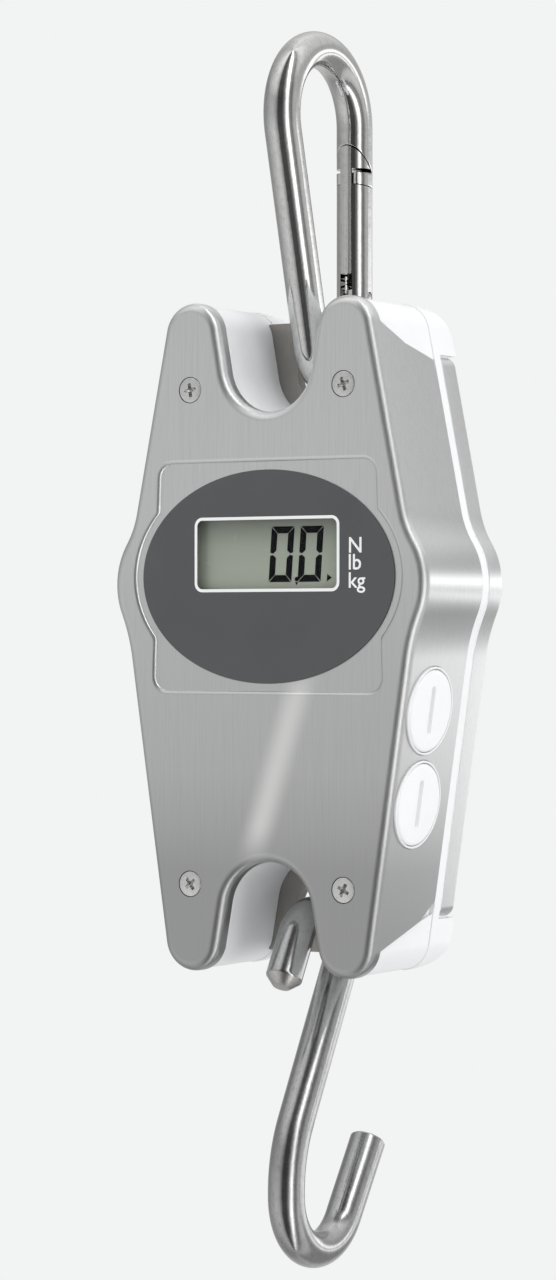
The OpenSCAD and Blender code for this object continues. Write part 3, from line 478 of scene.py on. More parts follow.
def drawn_rod(name, tint, rough_low, rough_high, scratch, along=1):
    """Steel with polish marks, drawn out along z by a scale below 1, blotches and scratches."""
    n = Nodes(name).set(Metallic=1.0)
    lines = n.noise(2600, 4, 0.6, (1, 1, along))
    blot = n.noise(170, 4, 0.62)
    pits = n.noise(900, 3, 0.7)
    marks = n.math("ADD", n.math("MULTIPLY", lines, 0.55), n.math("MULTIPLY", pits, 0.45))
    base = n.ramp(marks, [(0.3, shade(tint, 0.72)), (0.52, tint), (0.72, shade(tint, 1.06))])
    base = n.mix(n.math("MULTIPLY", blot, 0.3), base, shade(tint, 0.78))
    rough = n.linear(n.ramp(blot, [(0.35, 0.0), (0.7, 1.0)]), rough_high - rough_low, rough_low)
    normal = n.bump(marks, scratch, 0.00008, n.bump(blot, 0.12, 0.0004))
    n.wire(Base_Color=base, Roughness=rough, Normal=normal)
    return n.material


def moulded(name, colour, rough, grain=0.05, coat=0.0, speckle=0.02, scale=3200):
    """Injection-moulded plastic with a fine spark texture."""
    n = Nodes(name).set(Specular_IOR_Level=0.5, Coat_Weight=coat, Coat_Roughness=0.2)
    fine = n.noise(scale, 3, 0.6)
    broad = n.noise(60, 3, 0.5)
    base = n.ramp(broad, [(0.3, shade(colour, 1 - 2 * speckle)), (0.7, colour)])
    base = n.mix(n.math("MULTIPLY", fine, speckle * 3), base, shade(colour, 0.9))
    n.wire(Base_Color=base, Roughness=n.linear(broad, 0.12, rough - 0.06),
           Normal=n.bump(fine, grain, 0.00005))
    return n.material


def rubber():
    n = Nodes("seal_rubber").set(Specular_IOR_Level=0.35)
    colour = (0.03, 0.03, 0.032)
    fine = n.noise(2400, 5, 0.7)
    n.wire(Base_Color=n.ramp(fine, [(0.3, shade(colour, 0.7)), (0.7, shade(colour, 1.5))]),
           Roughness=n.linear(fine, 0.2, 0.55), Normal=n.bump(fine, 0.15, 0.00006))
    return n.material


# the front cover's colour carries painted shade towards the lower lobes and a painted highlight band on the
# lower front
STEEL_SHEET = brushed_sheet("cover_steel", (0.785, 0.79, 0.79), rough=0.25, painted_light=painted_light_on_cover)
REAR_STEEL = brushed_sheet("rear_cover_steel", (0.80, 0.805, 0.805), rough=0.27)
LUG_METAL = brushed_sheet("lug_metal", (0.42, 0.405, 0.38), 0.05)
WHITE = moulded("white_abs", (0.86, 0.87, 0.88), 0.34)
CAP_WHITE = moulded("cap_abs", (0.88, 0.89, 0.90), 0.42, 0.08)
KEY_WHITE = moulded("key_abs", (0.84, 0.85, 0.86), 0.4, 0.08)
LABEL = moulded("label_film", (0.078, 0.080, 0.083), 0.5, 0.10, 0.0, 0.06, 5200)
PRINT = moulded("printed_white", (0.86, 0.87, 0.87), 0.5, 0.04)
BLACK_PART = moulded("component_black", (0.025, 0.025, 0.027), 0.5, 0.1)
BATTERY = moulded("battery_sleeve", (0.05, 0.06, 0.08), 0.25, 0.02, 0.3)
COPPER_FILM = moulded("copper_film", (0.45, 0.22, 0.05), 0.3, 0.03, 0.3)
RUBBER = rubber()
SNAP_STEEL = drawn_rod("snap_hook_steel", (0.62, 0.62, 0.615), 0.05, 0.11, 0.05, 0.03)
HOOK_STEEL = drawn_rod("load_hook_steel", (0.46, 0.462, 0.46), 0.13, 0.22, 0.12, 0.05)
END_STEEL = drawn_rod("turned_end_steel", (0.56, 0.55, 0.53), 0.26, 0.4, 0.25)
SCREW_STEEL = drawn_rod("screw_steel", (0.72, 0.72, 0.71), 0.2, 0.34, 0.10)
SPRING_STEEL = drawn_rod("spring_steel", (0.5, 0.5, 0.5), 0.2, 0.35, 0.1)
# near-black spring: painted shade of the spring inside the gate's bore and slot
PAINTED_SHADE_SPRING = drawn_rod("painted_shade_spring", (0.035, 0.035, 0.035), 0.3, 0.45, 0.1)
# near-black steel: painted shade in the screws' cross recesses and in the gaps around their heads
PAINTED_SHADE_STEEL = drawn_rod("painted_shade_steel", (0.035, 0.035, 0.035), 0.4, 0.55, 0.1)


def circuit_board():
    n = Nodes("board").set(Specular_IOR_Level=0.5, Coat_Weight=0.4, Coat_Roughness=0.15)
    tracks = n.node("ShaderNodeTexVoronoi", feature="DISTANCE_TO_EDGE", distance="MANHATTAN")
    tracks.inputs["Scale"].default_value = 330
    n.link(n.mapped((1, 1, 1)), tracks.inputs["Vector"])
    lines = n.ramp(tracks.outputs["Distance"], [(0.05, (0.03, 0.22, 0.09)), (0.09, (0.012, 0.10, 0.04))])
    n.wire(Base_Color=lines, Roughness=n.linear(n.noise(900), 0.2, 0.3))
    return n.material


def display_glass():
    """Reflective display: grey-green, with painted shade that leaves it a little lighter low down and darker
    towards the top, and faint pixel ghosting.
    """
    n = Nodes("lcd_glass").set(Specular_IOR_Level=0.6, Coat_Weight=0.5, Coat_Roughness=0.08)
    level = n.node("ShaderNodeMapRange")
    level.inputs["From Min"].default_value = (BODY_Z + 9.6) * MM
    level.inputs["From Max"].default_value = (BODY_Z + 25.8) * MM
    n.link(n.apart("Object")[2], level.inputs["Value"])
    # painted shade: the display is darker towards the top
    base = n.ramp(level.outputs["Result"], [(0.0, (0.40, 0.44, 0.36)), (0.6, (0.33, 0.365, 0.30)),
                                            (1.0, (0.20, 0.225, 0.185))])
    base = n.mix(n.math("MULTIPLY", n.noise(3000, 2), 0.1), base, (0.26, 0.29, 0.24))
    n.wire(Base_Color=base, Roughness=n.linear(n.noise(400), 0.08, 0.22))
    return n.material


def segment_ink():
    n = Nodes("lcd_segments").set(Specular_IOR_Level=0.04)
    f = n.noise(2600, 3)
    n.wire(Base_Color=n.ramp(f, [(0.3, (0.0025, 0.003, 0.0035)), (0.7, (0.005, 0.006, 0.007))]),
           Roughness=n.linear(f, 0.1, 0.35))
    return n.material


def lens_glass():
    """Clear acrylic, thin enough to leave the display behind it sharp."""
    n = Nodes("window_acrylic").set(IOR=1.49, Specular_IOR_Level=0.5, Alpha=0.05)
    f = n.noise(500, 3)
    n.wire(Base_Color=n.ramp(f, [(0.2, (0.02, 0.022, 0.02)), (0.8, (0.03, 0.033, 0.03))]),
           Roughness=n.linear(n.ramp(n.noise(60), [(0.4, 0.0), (0.8, 1.0)]), 0.03, 0.04))
    return n.material


BOARD, LCD, INK, LENS = circuit_board(), display_glass(), segment_ink(), lens_glass()


# ---- steel covers
def wall_end(x, z):
    """Depth of the front cover's rim: short over the lobes, slanting down to the seam."""
    if abs(x) < LOBE_X or abs(z) > SLANT_HIGH:
        return FRONT + FLANGE
    t = min(1.0, (SLANT_HIGH - abs(z)) / (SLANT_HIGH - SLANT_LOW))
    return FRONT + FLANGE + (SEAM - FRONT - FLANGE) * t


def tray(name, face, way, end, top):
    """Sheet tray: rounded edge, walls and the inside."""
    rings = []
    for i in range(10):
        a = 90 * i / 9
        rings.append(ring(outline(EDGE * (1 - sind(a)), top), face + way * EDGE * (1 - cosd(a))))
    lip = 0.22
    rings.append(ring(outline(0, top), lambda x, z: end(x, z) - way * lip))
    rings.append(ring(outline(lip, top), end))
    rings.append(ring(outline(SKIN - lip, top), end))
    rings.append(ring(outline(SKIN, top), lambda x, z: end(x, z) - way * lip))
    rings.append(ring(outline(SKIN, top), face + way * EDGE))
    rings.append(ring(outline(SKIN + 0.5, top), face + way * (SKIN + 0.35)))
    rings.append(ring(outline(EDGE, top), face + way * SKIN))
    return loft(name, rings)


def crossing(d, p, q):
    """How far along d from the centre the edge from p to q is met, or 0 where it isn't."""
    e = Vector((q[0] - p[0], q[1] - p[1]))
    den = d.x * e.y - d.y * e.x
    if abs(den) <= 1e-12:
        return 0
    along = (p[0] * e.y - p[1] * e.x) / den
    return along if 0 <= (p[0] * d.y - p[1] * d.x) / den <= 1 else 0


def recess_outline(grow):
    """Oval and rounded panel together, as one outline about the label's centre."""
    top, bottom, top_x, bottom_x, r = 37.5 - LABEL_Z, -11.6 - LABEL_Z, 26.9, 28.3, 3.0
    panel = []
    for sx, z, w, a in ((1, top, top_x, 0), (-1, top, top_x, 90),
                        (-1, bottom, bottom_x, 180), (1, bottom, bottom_x, 270)):
        panel += arc((sx * (w - r), z - math.copysign(r, z)), r + grow, a, a + 90, 12)
    oval_x, oval_z, n = 33.1 + grow, 24.5 + grow, 240
    pts = []
    for k in range(n):
        t = 2 * math.pi * k / n
        d = Vector((math.cos(t), math.sin(t)))
        far = 1 / math.sqrt((d.x / oval_x) ** 2 + (d.y / oval_z) ** 2)
        for p, q in zip(panel, panel[1:] + panel[:1]):
            far = max(far, crossing(d, p, q))
        pts.append((far * d.x, far * d.y))
    return raised(pts, LABEL_Z)


def display_rect(w, h, r):
    return raised(rounded_rect(w, h, r), DISPLAY_Z)


def at_screws(name, face, r, h0, h1, segments, r1=None):
    """A cutter at each screw, along the outward axis of the face."""
    return [cylinder(name, r, h0, h1, face(x, z), segments, r1) for x, z in SCREWS]


SCREW_HOLE_R, CAP_HOLE_R, KEY_HOLE_R = 2.86, 9.62, 3.28
SOFT_BORDER = ((0.95, -0.5), (0.95, -0.01), (0.7, 0.04), (0.42, 0.13), (0.2, 0.28), (0.06, 0.45), (0.0, 0.6))
front_cover = tray("steel_front_cover", FRONT, 1, wall_end, None)
cutters = [loft("cut_recess", [ring(recess_outline(g), FRONT + y) for g, y in SOFT_BORDER], smooth=False),
           prism("cut_window", display_rect(36.4, 16.2, 1.7), FRONT - 1, FRONT + 3)]
cutters += at_screws("cut_screw", front_basis, SCREW_HOLE_R, -2.5, 2, 40)
cutters += [cylinder("cut_cap", CAP_HOLE_R, -3, 3, right_wall(z), 80) for z in CAP_Z]
cutters += [cylinder("cut_key", KEY_HOLE_R, -3, 3, left_wall(k * KEY_PITCH), 48) for k in (-1, 0, 1)]
cut(front_cover, cutters)
finish_mesh(front_cover, 0.09, 2, 40)
place(front_cover, "housing", STEEL_SHEET, "cover_steel", "front_cover")

rear_cover = tray("steel_rear_cover", BACK, -1, lambda x, z: REAR_COVER, REAR_TOP)
cut(rear_cover, at_screws("cut_screw", back_basis, SCREW_HOLE_R, -2.5, 2, 40))
finish_mesh(rear_cover, 0.09, 2, 40)
place(rear_cover, "housing", REAR_STEEL, "cover_steel", "rear_cover")


# ---- white housing
def across_body(name, side):
    """A block wider than the body, from its (y, z) side view."""
    return loft(name, [[at_body(x, y, z) for y, z in side] for x in (-50, 50)], smooth=False)


def zone(name, y0, gap, s):
    """Side-view shape of a bare end, upper or lower by the sign s, as a block across the width."""
    side = [(y0, SLANT_HIGH + gap), (SEAM, SLANT_LOW + gap), (REAR_COVER, SLANT_LOW + gap),
            (REAR_COVER, REAR_TOP + gap), (BACK + 1, REAR_TOP + gap), (BACK + 1, LOBE_TIP + 2),
            (y0, LOBE_TIP + 2)]
    return across_body(name, [(y, s * z) for y, z in side])


def union_of(objs):
    return cut(objs[0], objs[1:], "UNION")


def cavity(y0, y1):
    """The hollow inside, level at CAVITY_TOP from the middle both ways."""
    pts = [(x, max(-CAVITY_TOP, min(CAVITY_TOP, z))) for x, z in outline(3.1)]
    clean = [p for i, p in enumerate(pts) if p != pts[i - 1]]
    keep = [p for p in clean if not (abs(p[1]) == CAVITY_TOP and abs(p[0]) < 1e-6)]
    return prism("cut_cavity", keep, y0, y1)


def lug_slot(y0, y1):
    w, end_w, low, high = 15.1, 13.2, 30, 69.2
    out = []
    for s in (-1, 1):
        pts = [(-w, s * low), (w, s * low), (w, s * (high - 2)), (end_w, s * high),
               (-end_w, s * high), (-w, s * (high - 2))]
        out.append(prism("cut_lug", pts if s > 0 else pts[::-1], y0, y1))
    return out


def bare_shell(name, y0, y1, inset):
    """Proud plastic with a softly rounded front edge."""
    rings = []
    for i in range(5):
        a = 90 * i / 4
        rings.append(ring(outline(inset + 0.5 * (1 - sind(a))), y0 + 0.5 * (1 - cosd(a))))
    rings.append(ring(outline(inset), y1 - 0.12))
    rings.append(ring(outline(inset + 0.12), y1))
    return loft(name, rings)


def inner_shell(name, levels):
    """Plastic through (inset, depth) levels."""
    return loft(name, [ring(outline(inset), y) for inset, y in levels], smooth=False)


CAVITY_TOP = 46.0
PILOT_R, HEAD_R = 1.6, 3.9
front_bare = bare_shell("white_front_housing", FRONT + FLANGE + 0.12, SEAM - 0.03, 0.3)
blocks = [zone("zone_up", FRONT + FLANGE, 0.12, 1), zone("zone_down", FRONT + FLANGE, 0.12, -1)]
for s in (-1, 1):
    notch = [(-19.1, s * 44), (19.1, s * 44), (19.1, s * 80), (-19.1, s * 80)]
    blocks.append(prism("zone_notch", notch[::s], FRONT, SEAM + 1))
cut(front_bare, [union_of(blocks)], "INTERSECT")
inner = inner_shell("inner_front", ((2.3, FRONT + 1.1), (2.3, FRONT + 2.25), (1.1, FRONT + 2.3),
                                    (1.1, SEAM - 0.03)))
cut(front_bare, [inner], "UNION")
cutters = [cavity(FRONT + 3.1, SEAM + 1), prism("cut_display", display_rect(43.4, 24.4, 1), FRONT, -9.0),
           prism("cut_recess", recess_outline(1.0), FRONT, FRONT + 1.72)]
cutters += lug_slot(5.6, SEAM + 1)
cutters += at_screws("cut_pilot", front_basis, PILOT_R, -12, 0, 24)
cutters += at_screws("cut_head", front_basis, PILOT_R, -2.0, 0.02, 40, HEAD_R)
cutters += at_screws("cut_pilot", back_basis, PILOT_R, -18, 0, 24)
cutters += [cylinder("cut_tube", 9.6, -9, 3, right_wall(z), 72) for z in CAP_Z]
cutters += [cylinder("cut_key", 4.3, -5, 1, left_wall(k * KEY_PITCH), 40) for k in (-1, 0, 1)]
cut(front_bare, cutters)
finish_mesh(front_bare, 0, 2, 30)
place(front_bare, "housing", WHITE, "housing_plastic", "front_housing")


def lobe_back():
    """Side view of the rear housing: flush at the back, rounded over towards the tips."""
    r = 9.0
    side = [(SEAM, -LOBE_TIP - 1)]
    side += arc((BACK - r, r - LOBE_TIP - 0.2), r, -90, 0, 24)
    side += arc((BACK - r, LOBE_TIP + 0.2 - r), r, 0, 90, 24)
    side += [(SEAM, LOBE_TIP + 1)]
    return across_body("lobe_back", side)


lobes = loft("white_rear_housing", [ring(outline(0.3), SEAM + 0.03), ring(outline(0.3), BACK)])
cut(lobes, [union_of([zone("zone_up", SEAM, 0.1, 1), zone("zone_down", SEAM, 0.1, -1)])], "INTERSECT")
cut(lobes, [lobe_back()], "INTERSECT")
finish_mesh(lobes, 1.3, 5, 40)
band = inner_shell("band", ((0.16, SEAM + 0.03), (0.08, SEAM + 0.12), (0.08, REAR_COVER - 0.12),
                            (0.16, REAR_COVER - 0.05)))
back_inner = inner_shell("inner_back", ((1.1, SEAM + 0.1), (1.1, BACK - 2.3), (2.3, BACK - 2.25),
                                        (2.3, BACK - 1.1)))
cut(lobes, [band, back_inner], "UNION")
cut(lobes, [cavity(SEAM - 1, BACK - 3.1)] + lug_slot(SEAM - 1, 8.6)
    + at_screws("cut_pilot", back_basis, PILOT_R, -18, 0, 24)
    + at_screws("cut_head", back_basis, PILOT_R, -2.0, 0.02, 40, HEAD_R))
finish_mesh(lobes, 0, 2, 30)
place(lobes, "housing", WHITE, "housing_plastic", "rear_housing")


# ---- label, window and display
def plate(name, outer, holes, y0, y1, bevel=0.0):
    obj = prism(name, outer, y0, y1)
    if holes:
        cut(obj, [prism("cut_hole", h, y0 - 1, y1 + 1) for h in holes])
    return finish_mesh(obj, bevel, 2, 40)


def oval(rx, rz):
    angles = [2 * math.pi * k / 160 for k in range(160)]
    return [(rx * math.cos(a), LABEL_Z + rz * math.sin(a)) for a in angles]


label = plate("oval_label", oval(31.5, 22.9), [display_rect(35.0, 14.8, 1.5)], LABEL_FACE, FRONT + 0.59, 0.06)
place(label, "housing", LABEL, "label_film", "front_label")

border = plate("window_border", display_rect(36.3, 16.1, 1.9), [display_rect(35.0, 14.8, 1.3)],
               LABEL_FACE - 0.02, LABEL_FACE + 0.03)
place(border, "housing", PRINT, "label_film")

lens = plate("clear_window", display_rect(36.2, 16.0, 1.6), [], FRONT + 0.6, FRONT + 1.9)
place(lens, "housing", LENS, "window_clear", "display_window")

panel = plate("lcd_glass", display_rect(40.0, 21.0, 0.4), [], LCD_FACE, LCD_FACE + 2.0, 0.05)
place(panel, "housing", LCD, "lcd_glass", "lcd_panel")

# seven-segment digits, in mm about the middle of a digit
DIGIT_W, DIGIT_H, STROKE = 5.7, 11.9, 1.5
SLANT_OF_DIGITS = 0.07


def segment(kind):
    """One bar of a digit, lettered a to g as usual, with a small gap g to its neighbours."""
    w, h, s, g = DIGIT_W / 2, DIGIT_H / 2, STROKE, 0.14
    if kind in "ad":
        k = 1 if kind == "a" else -1
        y = k * h
        return [(-w + g, y), (w - g, y), (w - s - g * 0.4, y - k * s), (-w + s + g * 0.4, y - k * s)]
    if kind == "g":
        return [(-w + s * 0.5 + g, 0), (-w + s + g, s / 2), (w - s - g, s / 2),
                (w - s * 0.5 - g, 0), (w - s - g, -s / 2), (-w + s + g, -s / 2)]
    kx = 1 if kind in "bc" else -1
    ky = 1 if kind in "bf" else -1
    x = kx * w
    return [(x, ky * (h - g)), (x, ky * (g + 0.2)), (x - kx * s * 0.5, ky * g),
            (x - kx * s, ky * (s * 0.5 + g * 0.6)), (x - kx * s, ky * (h - s - g * 0.6))]


def digits(name, places, marks):
    """The shown segments and marks, leaning a little, as one thin piece."""
    verts, faces = [], []

    def add(poly, cx, cz):
        base = len(verts)
        poly = [(x + SLANT_OF_DIGITS * z + cx, z + cz) for x, z in poly]
        for y in (LCD_FACE - 0.03, LCD_FACE + 0.02):
            verts.extend(ring(poly, y))
        n = len(poly)
        faces.append(tuple(base + k for k in range(n)))
        faces.append(tuple(base + n + k for k in range(n)))
        for k in range(n):
            faces.append((base + k, base + (k + 1) % n, base + n + (k + 1) % n, base + n + k))

    for cx, kinds in places:
        for kind in kinds:
            add(segment(kind), cx, DISPLAY_Z)
    for cx, cz, poly in marks:
        add(poly, cx, cz)
    return mesh_object(name, verts, faces, smooth=False)


POINT = arc((0, 0), 0.52, 0, 315, 7)
ink = digits("display_digits", [(2.6, "abcdef"), (9.85, "abcdef")],
             [(6.35, 12.35, POINT), (6.35, 11.45, [(-0.4, 0.25), (0, -0.4), (0.4, 0.25)]),
              (14.4, 12.6, [(-0.5, -0.8), (0.65, 0), (-0.5, 0.8)])])
place(ink, "housing", INK, "lcd_glass")

frame_piece = plate("lcd_border", display_rect(42.9, 23.9, 0.8), [display_rect(38.6, 17.4, 1.2)],
                    FRONT + 2.0, LCD_FACE - 0.05, 0.05)
place(frame_piece, "housing", WHITE, "housing_plastic", "lcd_frame")


UNIT_X, UNIT_SIZE = 20.2, 4.7
PRINT_DEPTH, STROKE_GROWTH = 0.03, 0.04


def words(name, text, z):
    """A unit mark beside the window."""
    curve = bpy.data.curves.new(name, "FONT")
    curve.body = text
    curve.size = UNIT_SIZE * MM
    curve.extrude = PRINT_DEPTH * MM / 2
    curve.offset = STROKE_GROWTH * MM
    curve.resolution_u = 3
    written = new_object(name + "_curve", curve)
    written.matrix_world = front_basis(UNIT_X, z, LABEL_FACE - FRONT - 0.01)
    bpy.context.view_layer.update()
    mesh = bpy.data.meshes.new_from_object(written.evaluated_get(bpy.context.evaluated_depsgraph_get()))
    mesh.transform(written.matrix_world)
    bpy.data.objects.remove(written)
    bpy.data.curves.remove(curve)
    place(new_object(name, mesh), "housing", PRINT, "label_film")


words("unit_newton", "N", 17.8)
words("unit_pound", "lb", 14.25)
words("unit_kilogram", "kg", 10.4)


# ---- battery bays
# profiles as (radius, height) about the bay's axis; 0 is the side wall's surface
TUBE = [(0.0, -58.4), (8.5, -58.4), (8.5, -7.4), (9.5, -7.3), (9.5, 0.25), (9.38, 0.42), (9.2, 0.5),
        (9.08, 0.46), (8.98, 0.3), (8.98, -5.35), (7.42, -5.42), (7.42, -57.0), (0.0, -57.0)]
CAP = [(0, -5.0), (8.6, -5.0), (8.8, -4.8), (8.8, -3.35), (7.6, -3.3), (7.6, -1.95), (8.8, -1.9),
       (8.85, -1.7), (8.85, 0.1), (8.72, 0.38), (8.45, 0.55), (8.0, 0.6), (0, 0.6)]
SEAL = arc((8.22, -2.6), 0.58, 0, 360, 18)
COIN_SLOT = ((-0.55, -0.12), (0.2, 0.0), (0.5, 0.1), (0.75, 0.32))

for z, tag in zip(CAP_Z, ("upper", "lower")):
    m = right_wall(z)
    tube = lathe(f"{tag}_battery_tube", TUBE, m, 96)
    finish_mesh(tube, 0, 2, 40)
    place(tube, "housing", CAP_WHITE, "housing_plastic", "battery_tubes")
    cap = lathe(f"{tag}_battery_cap", CAP, m, 96)
    slot_rings = [on(m, rounded_rect(10.4 + 2 * g, 1.45 + 2 * g, 0.7, 6), h) for h, g in COIN_SLOT]
    cut(cap, [loft("cut_slot", slot_rings, smooth=False)])
    finish_mesh(cap, 0.08, 2, 40)
    place(cap, f"{tag}_cap", CAP_WHITE, "housing_plastic", f"cap_{tag}")
    seal = lathe(f"{tag}_cap_seal", SEAL, m, 96)
    place(seal, f"{tag}_cap_carrier", RUBBER, "gasket_rubber", f"cap_seal_{tag}")


# ---- screws and keys
CROSS_LEVELS = ((-1.25, 0.75, 0.2), (-0.2, 1.42, 0.37), (0.3, 1.6, 0.42))
RECESS_REACH, RIM_START = 2.0, 2.6


def cross_screw(m, length, turn):
    """Countersunk screw; its cross and its rim take the dark material, painted shade of the cross recess and
    of the gap around the head.
    """
    head = lathe("s", [(0, -length), (1.3, -length), (1.5, -length + 0.25), (1.5, -1.65), (2.62, -0.32),
                       (2.72, -0.1), (2.66, -0.01), (2.5, 0.03), (0, 0.05)], m, 48)
    arms = []
    for a in (turn, turn + 90):
        turned = m @ Matrix.Rotation(math.radians(a), 4, "Z")
        levels = [on(turned, rounded_rect(2 * w, 2 * t, 0.152, 3), h) for h, w, t in CROSS_LEVELS]
        arms.append(loft("cut_cross", levels, smooth=False))
    centre = lathe("cut_centre", [(0, -1.5), (0.55, -1.1), (0.72, 0.3), (0, 0.3)], m, 20, smooth=False)
    cut(head, arms + [centre])
    finish_mesh(head, 0.04, 1, 35)
    inverse = m.inverted()
    head.data.materials.append(SCREW_STEEL)
    head.data.materials.append(PAINTED_SHADE_STEEL)
    # painted shade: deep faces of the cross and the outer rim take the near-black steel
    for poly in head.data.polygons:
        p = inverse @ poly.center / MM
        r = math.hypot(p.x, p.y)
        if (p.z < -0.05 and r < RECESS_REACH) or r > RIM_START:
            poly.material_index = 1
    return head


def join(name, objs):
    bm = bmesh.new()
    for o in objs:
        bm.from_mesh(o.data)
    mesh = bpy.data.meshes.new(name)
    bm.to_mesh(mesh)
    bm.free()
    for poly in mesh.polygons:
        poly.use_smooth = True
    for o in objs:
        remove(o)
    return new_object(name, mesh)


TURNS = (38, 8, 62, 20)
for side, face, length, more in (("front", front_basis, 10, 0), ("rear", back_basis, 16, 17)):
    screws = join(f"{side}_cross_screws", [cross_screw(face(x, z, 0.02), length, t + more)
                                           for (x, z), t in zip(SCREWS, TURNS)])
    place(screws, "housing", SCREW_STEEL, "screw_steel", f"{side}_screws")
    screws.data.materials.append(PAINTED_SHADE_STEEL)

KEY = [(0, -2.1), (3.9, -2.1), (4.0, -2.0), (4.0, -1.4), (3.9, -1.3), (3.0, -1.3), (3.0, 0.35),
       (2.93, 0.56), (2.72, 0.72), (2.3, 0.79), (1.9, 0.74), (1.2, 0.6), (0, 0.55)]
for k, tag in ((1, "power"), (0, "tare"), (-1, "unit")):
    key = lathe(f"{tag}_key_cap", KEY, left_wall(k * KEY_PITCH), 64)
    finish_mesh(key, 0, 2, 50)
    place(key, f"{tag}_key", KEY_WHITE, "key_plastic", f"key_{tag}")


# ---- rods, in the plane x = 0
def tube_path(name, path, radii):
    """Round rod along (y, z) points in mm, with a radius for each point."""
    rings = []
    sides = 56
    angles = [2 * math.pi * k / sides for k in range(sides)]
    u = Vector((1, 0, 0))
    for i, (p, r) in enumerate(zip(path, radii)):
        a, b = path[max(i - 1, 0)], path[min(i + 1, len(path) - 1)]
        v = Vector((0, b[0] - a[0], b[1] - a[1])).normalized().cross(u)
        c = Vector((0, *p))
        rings.append([(c + r * (math.cos(t) * u + math.sin(t) * v)) * MM for t in angles])
    return loft(name, rings)


def straight(p, q, n=10):
    return [(p[0] + (q[0] - p[0]) * i / n, p[1] + (q[1] - p[1]) * i / n) for i in range(n + 1)]


BOW_R, TAIL_R = 15.5, 9.5
SNAP_TOP, SNAP_HEIGHT = 8.0, 80.0
BOW, TAIL = (0.0, ROD - BOW_R), (BOW_R - TAIL_R, SNAP_TOP - SNAP_HEIGHT + ROD + TAIL_R)
GATE_Y, PIVOT_Z = BOW_R, -49.0
SHOULDER_Z, GATE_BOTTOM = PIVOT_Z - 5.9, PIVOT_Z - 3.9
SLOT_TOP = PIVOT_Z + 5.2
TONGUE_TOP = 2.0
NOSE_Z, NOSE_SLOPE = -20.0, 1.25
WEDGE_BOTTOM, HEAD_TOP, HEAD_BOTTOM, HEAD_SLOPE = -20.5, -21.4, -24.4, 0.15
HEAD_Y, FORK_Y, CORE_Y, CORE_W = -3.3, 0.75, 1.5, 1.5
lean = math.degrees(math.asin((BOW_R - TAIL_R) / math.hypot(TAIL[0], BOW[1] - TAIL[1]))
                    + math.atan2(TAIL[0], BOW[1] - TAIL[1]))


def latch_profile(name, side, x0=-12.0, x1=12.0):
    """Side view of the latch, as distance behind the gate's axis and height, cut from x0 to x1."""
    return loft(name, [[Vector((x, GATE_Y + y, z)) * MM for y, z in side] for x in (x0, x1)], smooth=False)


def head_floor(y, drop=0.0):
    return HEAD_BOTTOM - drop - HEAD_SLOPE * y


def wedge_line(y, drop=0.0):
    return NOSE_Z - NOSE_SLOPE * y - drop


GATE_AXIS = basis(Vector((0, GATE_Y, PIVOT_Z)) * MM, (0, 0, 1), (1, 0, 0))
PIN_AXIS = basis(Vector((0, GATE_Y, PIVOT_Z)) * MM, (1, 0, 0), (0, 1, 0))
PIN_HOLE_R, PIN_R, HALF_PIN = 1.22, 1.19, 3.9
GATE_GAP, WEDGE_GAP = 0.2, 0.42
FAR, LOW = 9.0, -30.0

# snap hook: from the latch heads over the bow, down the back and round the tail to the hinge
path = straight((GATE_Y, HEAD_BOTTOM - 3), (GATE_Y, BOW[1]), 14)
path += arc(BOW, BOW_R, 0, 180 + lean, 64)[1:]
path += straight(polar(BOW, BOW_R, 180 + lean), polar(TAIL, TAIL_R, 180 + lean), 16)[1:]
path += arc(TAIL, TAIL_R, 180 + lean, 360, 44)[1:]
path += straight((GATE_Y, TAIL[1]), (GATE_Y, SHOULDER_Z), 4)[1:]
snap = tube_path("snap_hook_rod", path, [ROD] * len(path))
fork_back = CORE_Y + 0.3
nose = (-FAR, wedge_line(-FAR))
under_heads = [(-FAR, head_floor(-FAR)), (-FAR, LOW), (FAR, LOW), (FAR, head_floor(FAR))]
above_heads = [nose, (-FAR, HEAD_TOP), (FORK_Y, HEAD_TOP), (FORK_Y, wedge_line(FORK_Y))]
before_heads = [nose, (-FAR, LOW), (HEAD_Y, LOW), (HEAD_Y, wedge_line(HEAD_Y))]
between_heads = [nose, (-FAR, LOW), (fork_back, LOW), (fork_back, wedge_line(fork_back))]
cut(snap, [latch_profile("under_heads", under_heads), latch_profile("above_heads", above_heads),
           latch_profile("before_heads", before_heads),
           latch_profile("between_heads", between_heads, -CORE_W - GATE_GAP, CORE_W + GATE_GAP)])
finish_mesh(snap, 0.12, 2, 40)
tongue = cylinder("hinge_tongue", 3.9, SHOULDER_Z - 1 - PIVOT_Z, TONGUE_TOP, GATE_AXIS, 48)
slab = cuboid("slab", (-1.2, GATE_Y - TONGUE_TOP, SHOULDER_Z - 3), (1.2, GATE_Y + TONGUE_TOP, PIVOT_Z + 8))
cut(tongue, [slab], "INTERSECT")
finish_mesh(tongue, 0.5, 3, 40)
cut(snap, [tongue], "UNION")
cut(snap, [cylinder("pin_hole", PIN_HOLE_R, -10, 10, PIN_AXIS, 32)])
finish_mesh(snap, 0, 2, 38)
place(snap, "snap_hook", SNAP_STEEL, "hook_polished", "snap_hook_body")

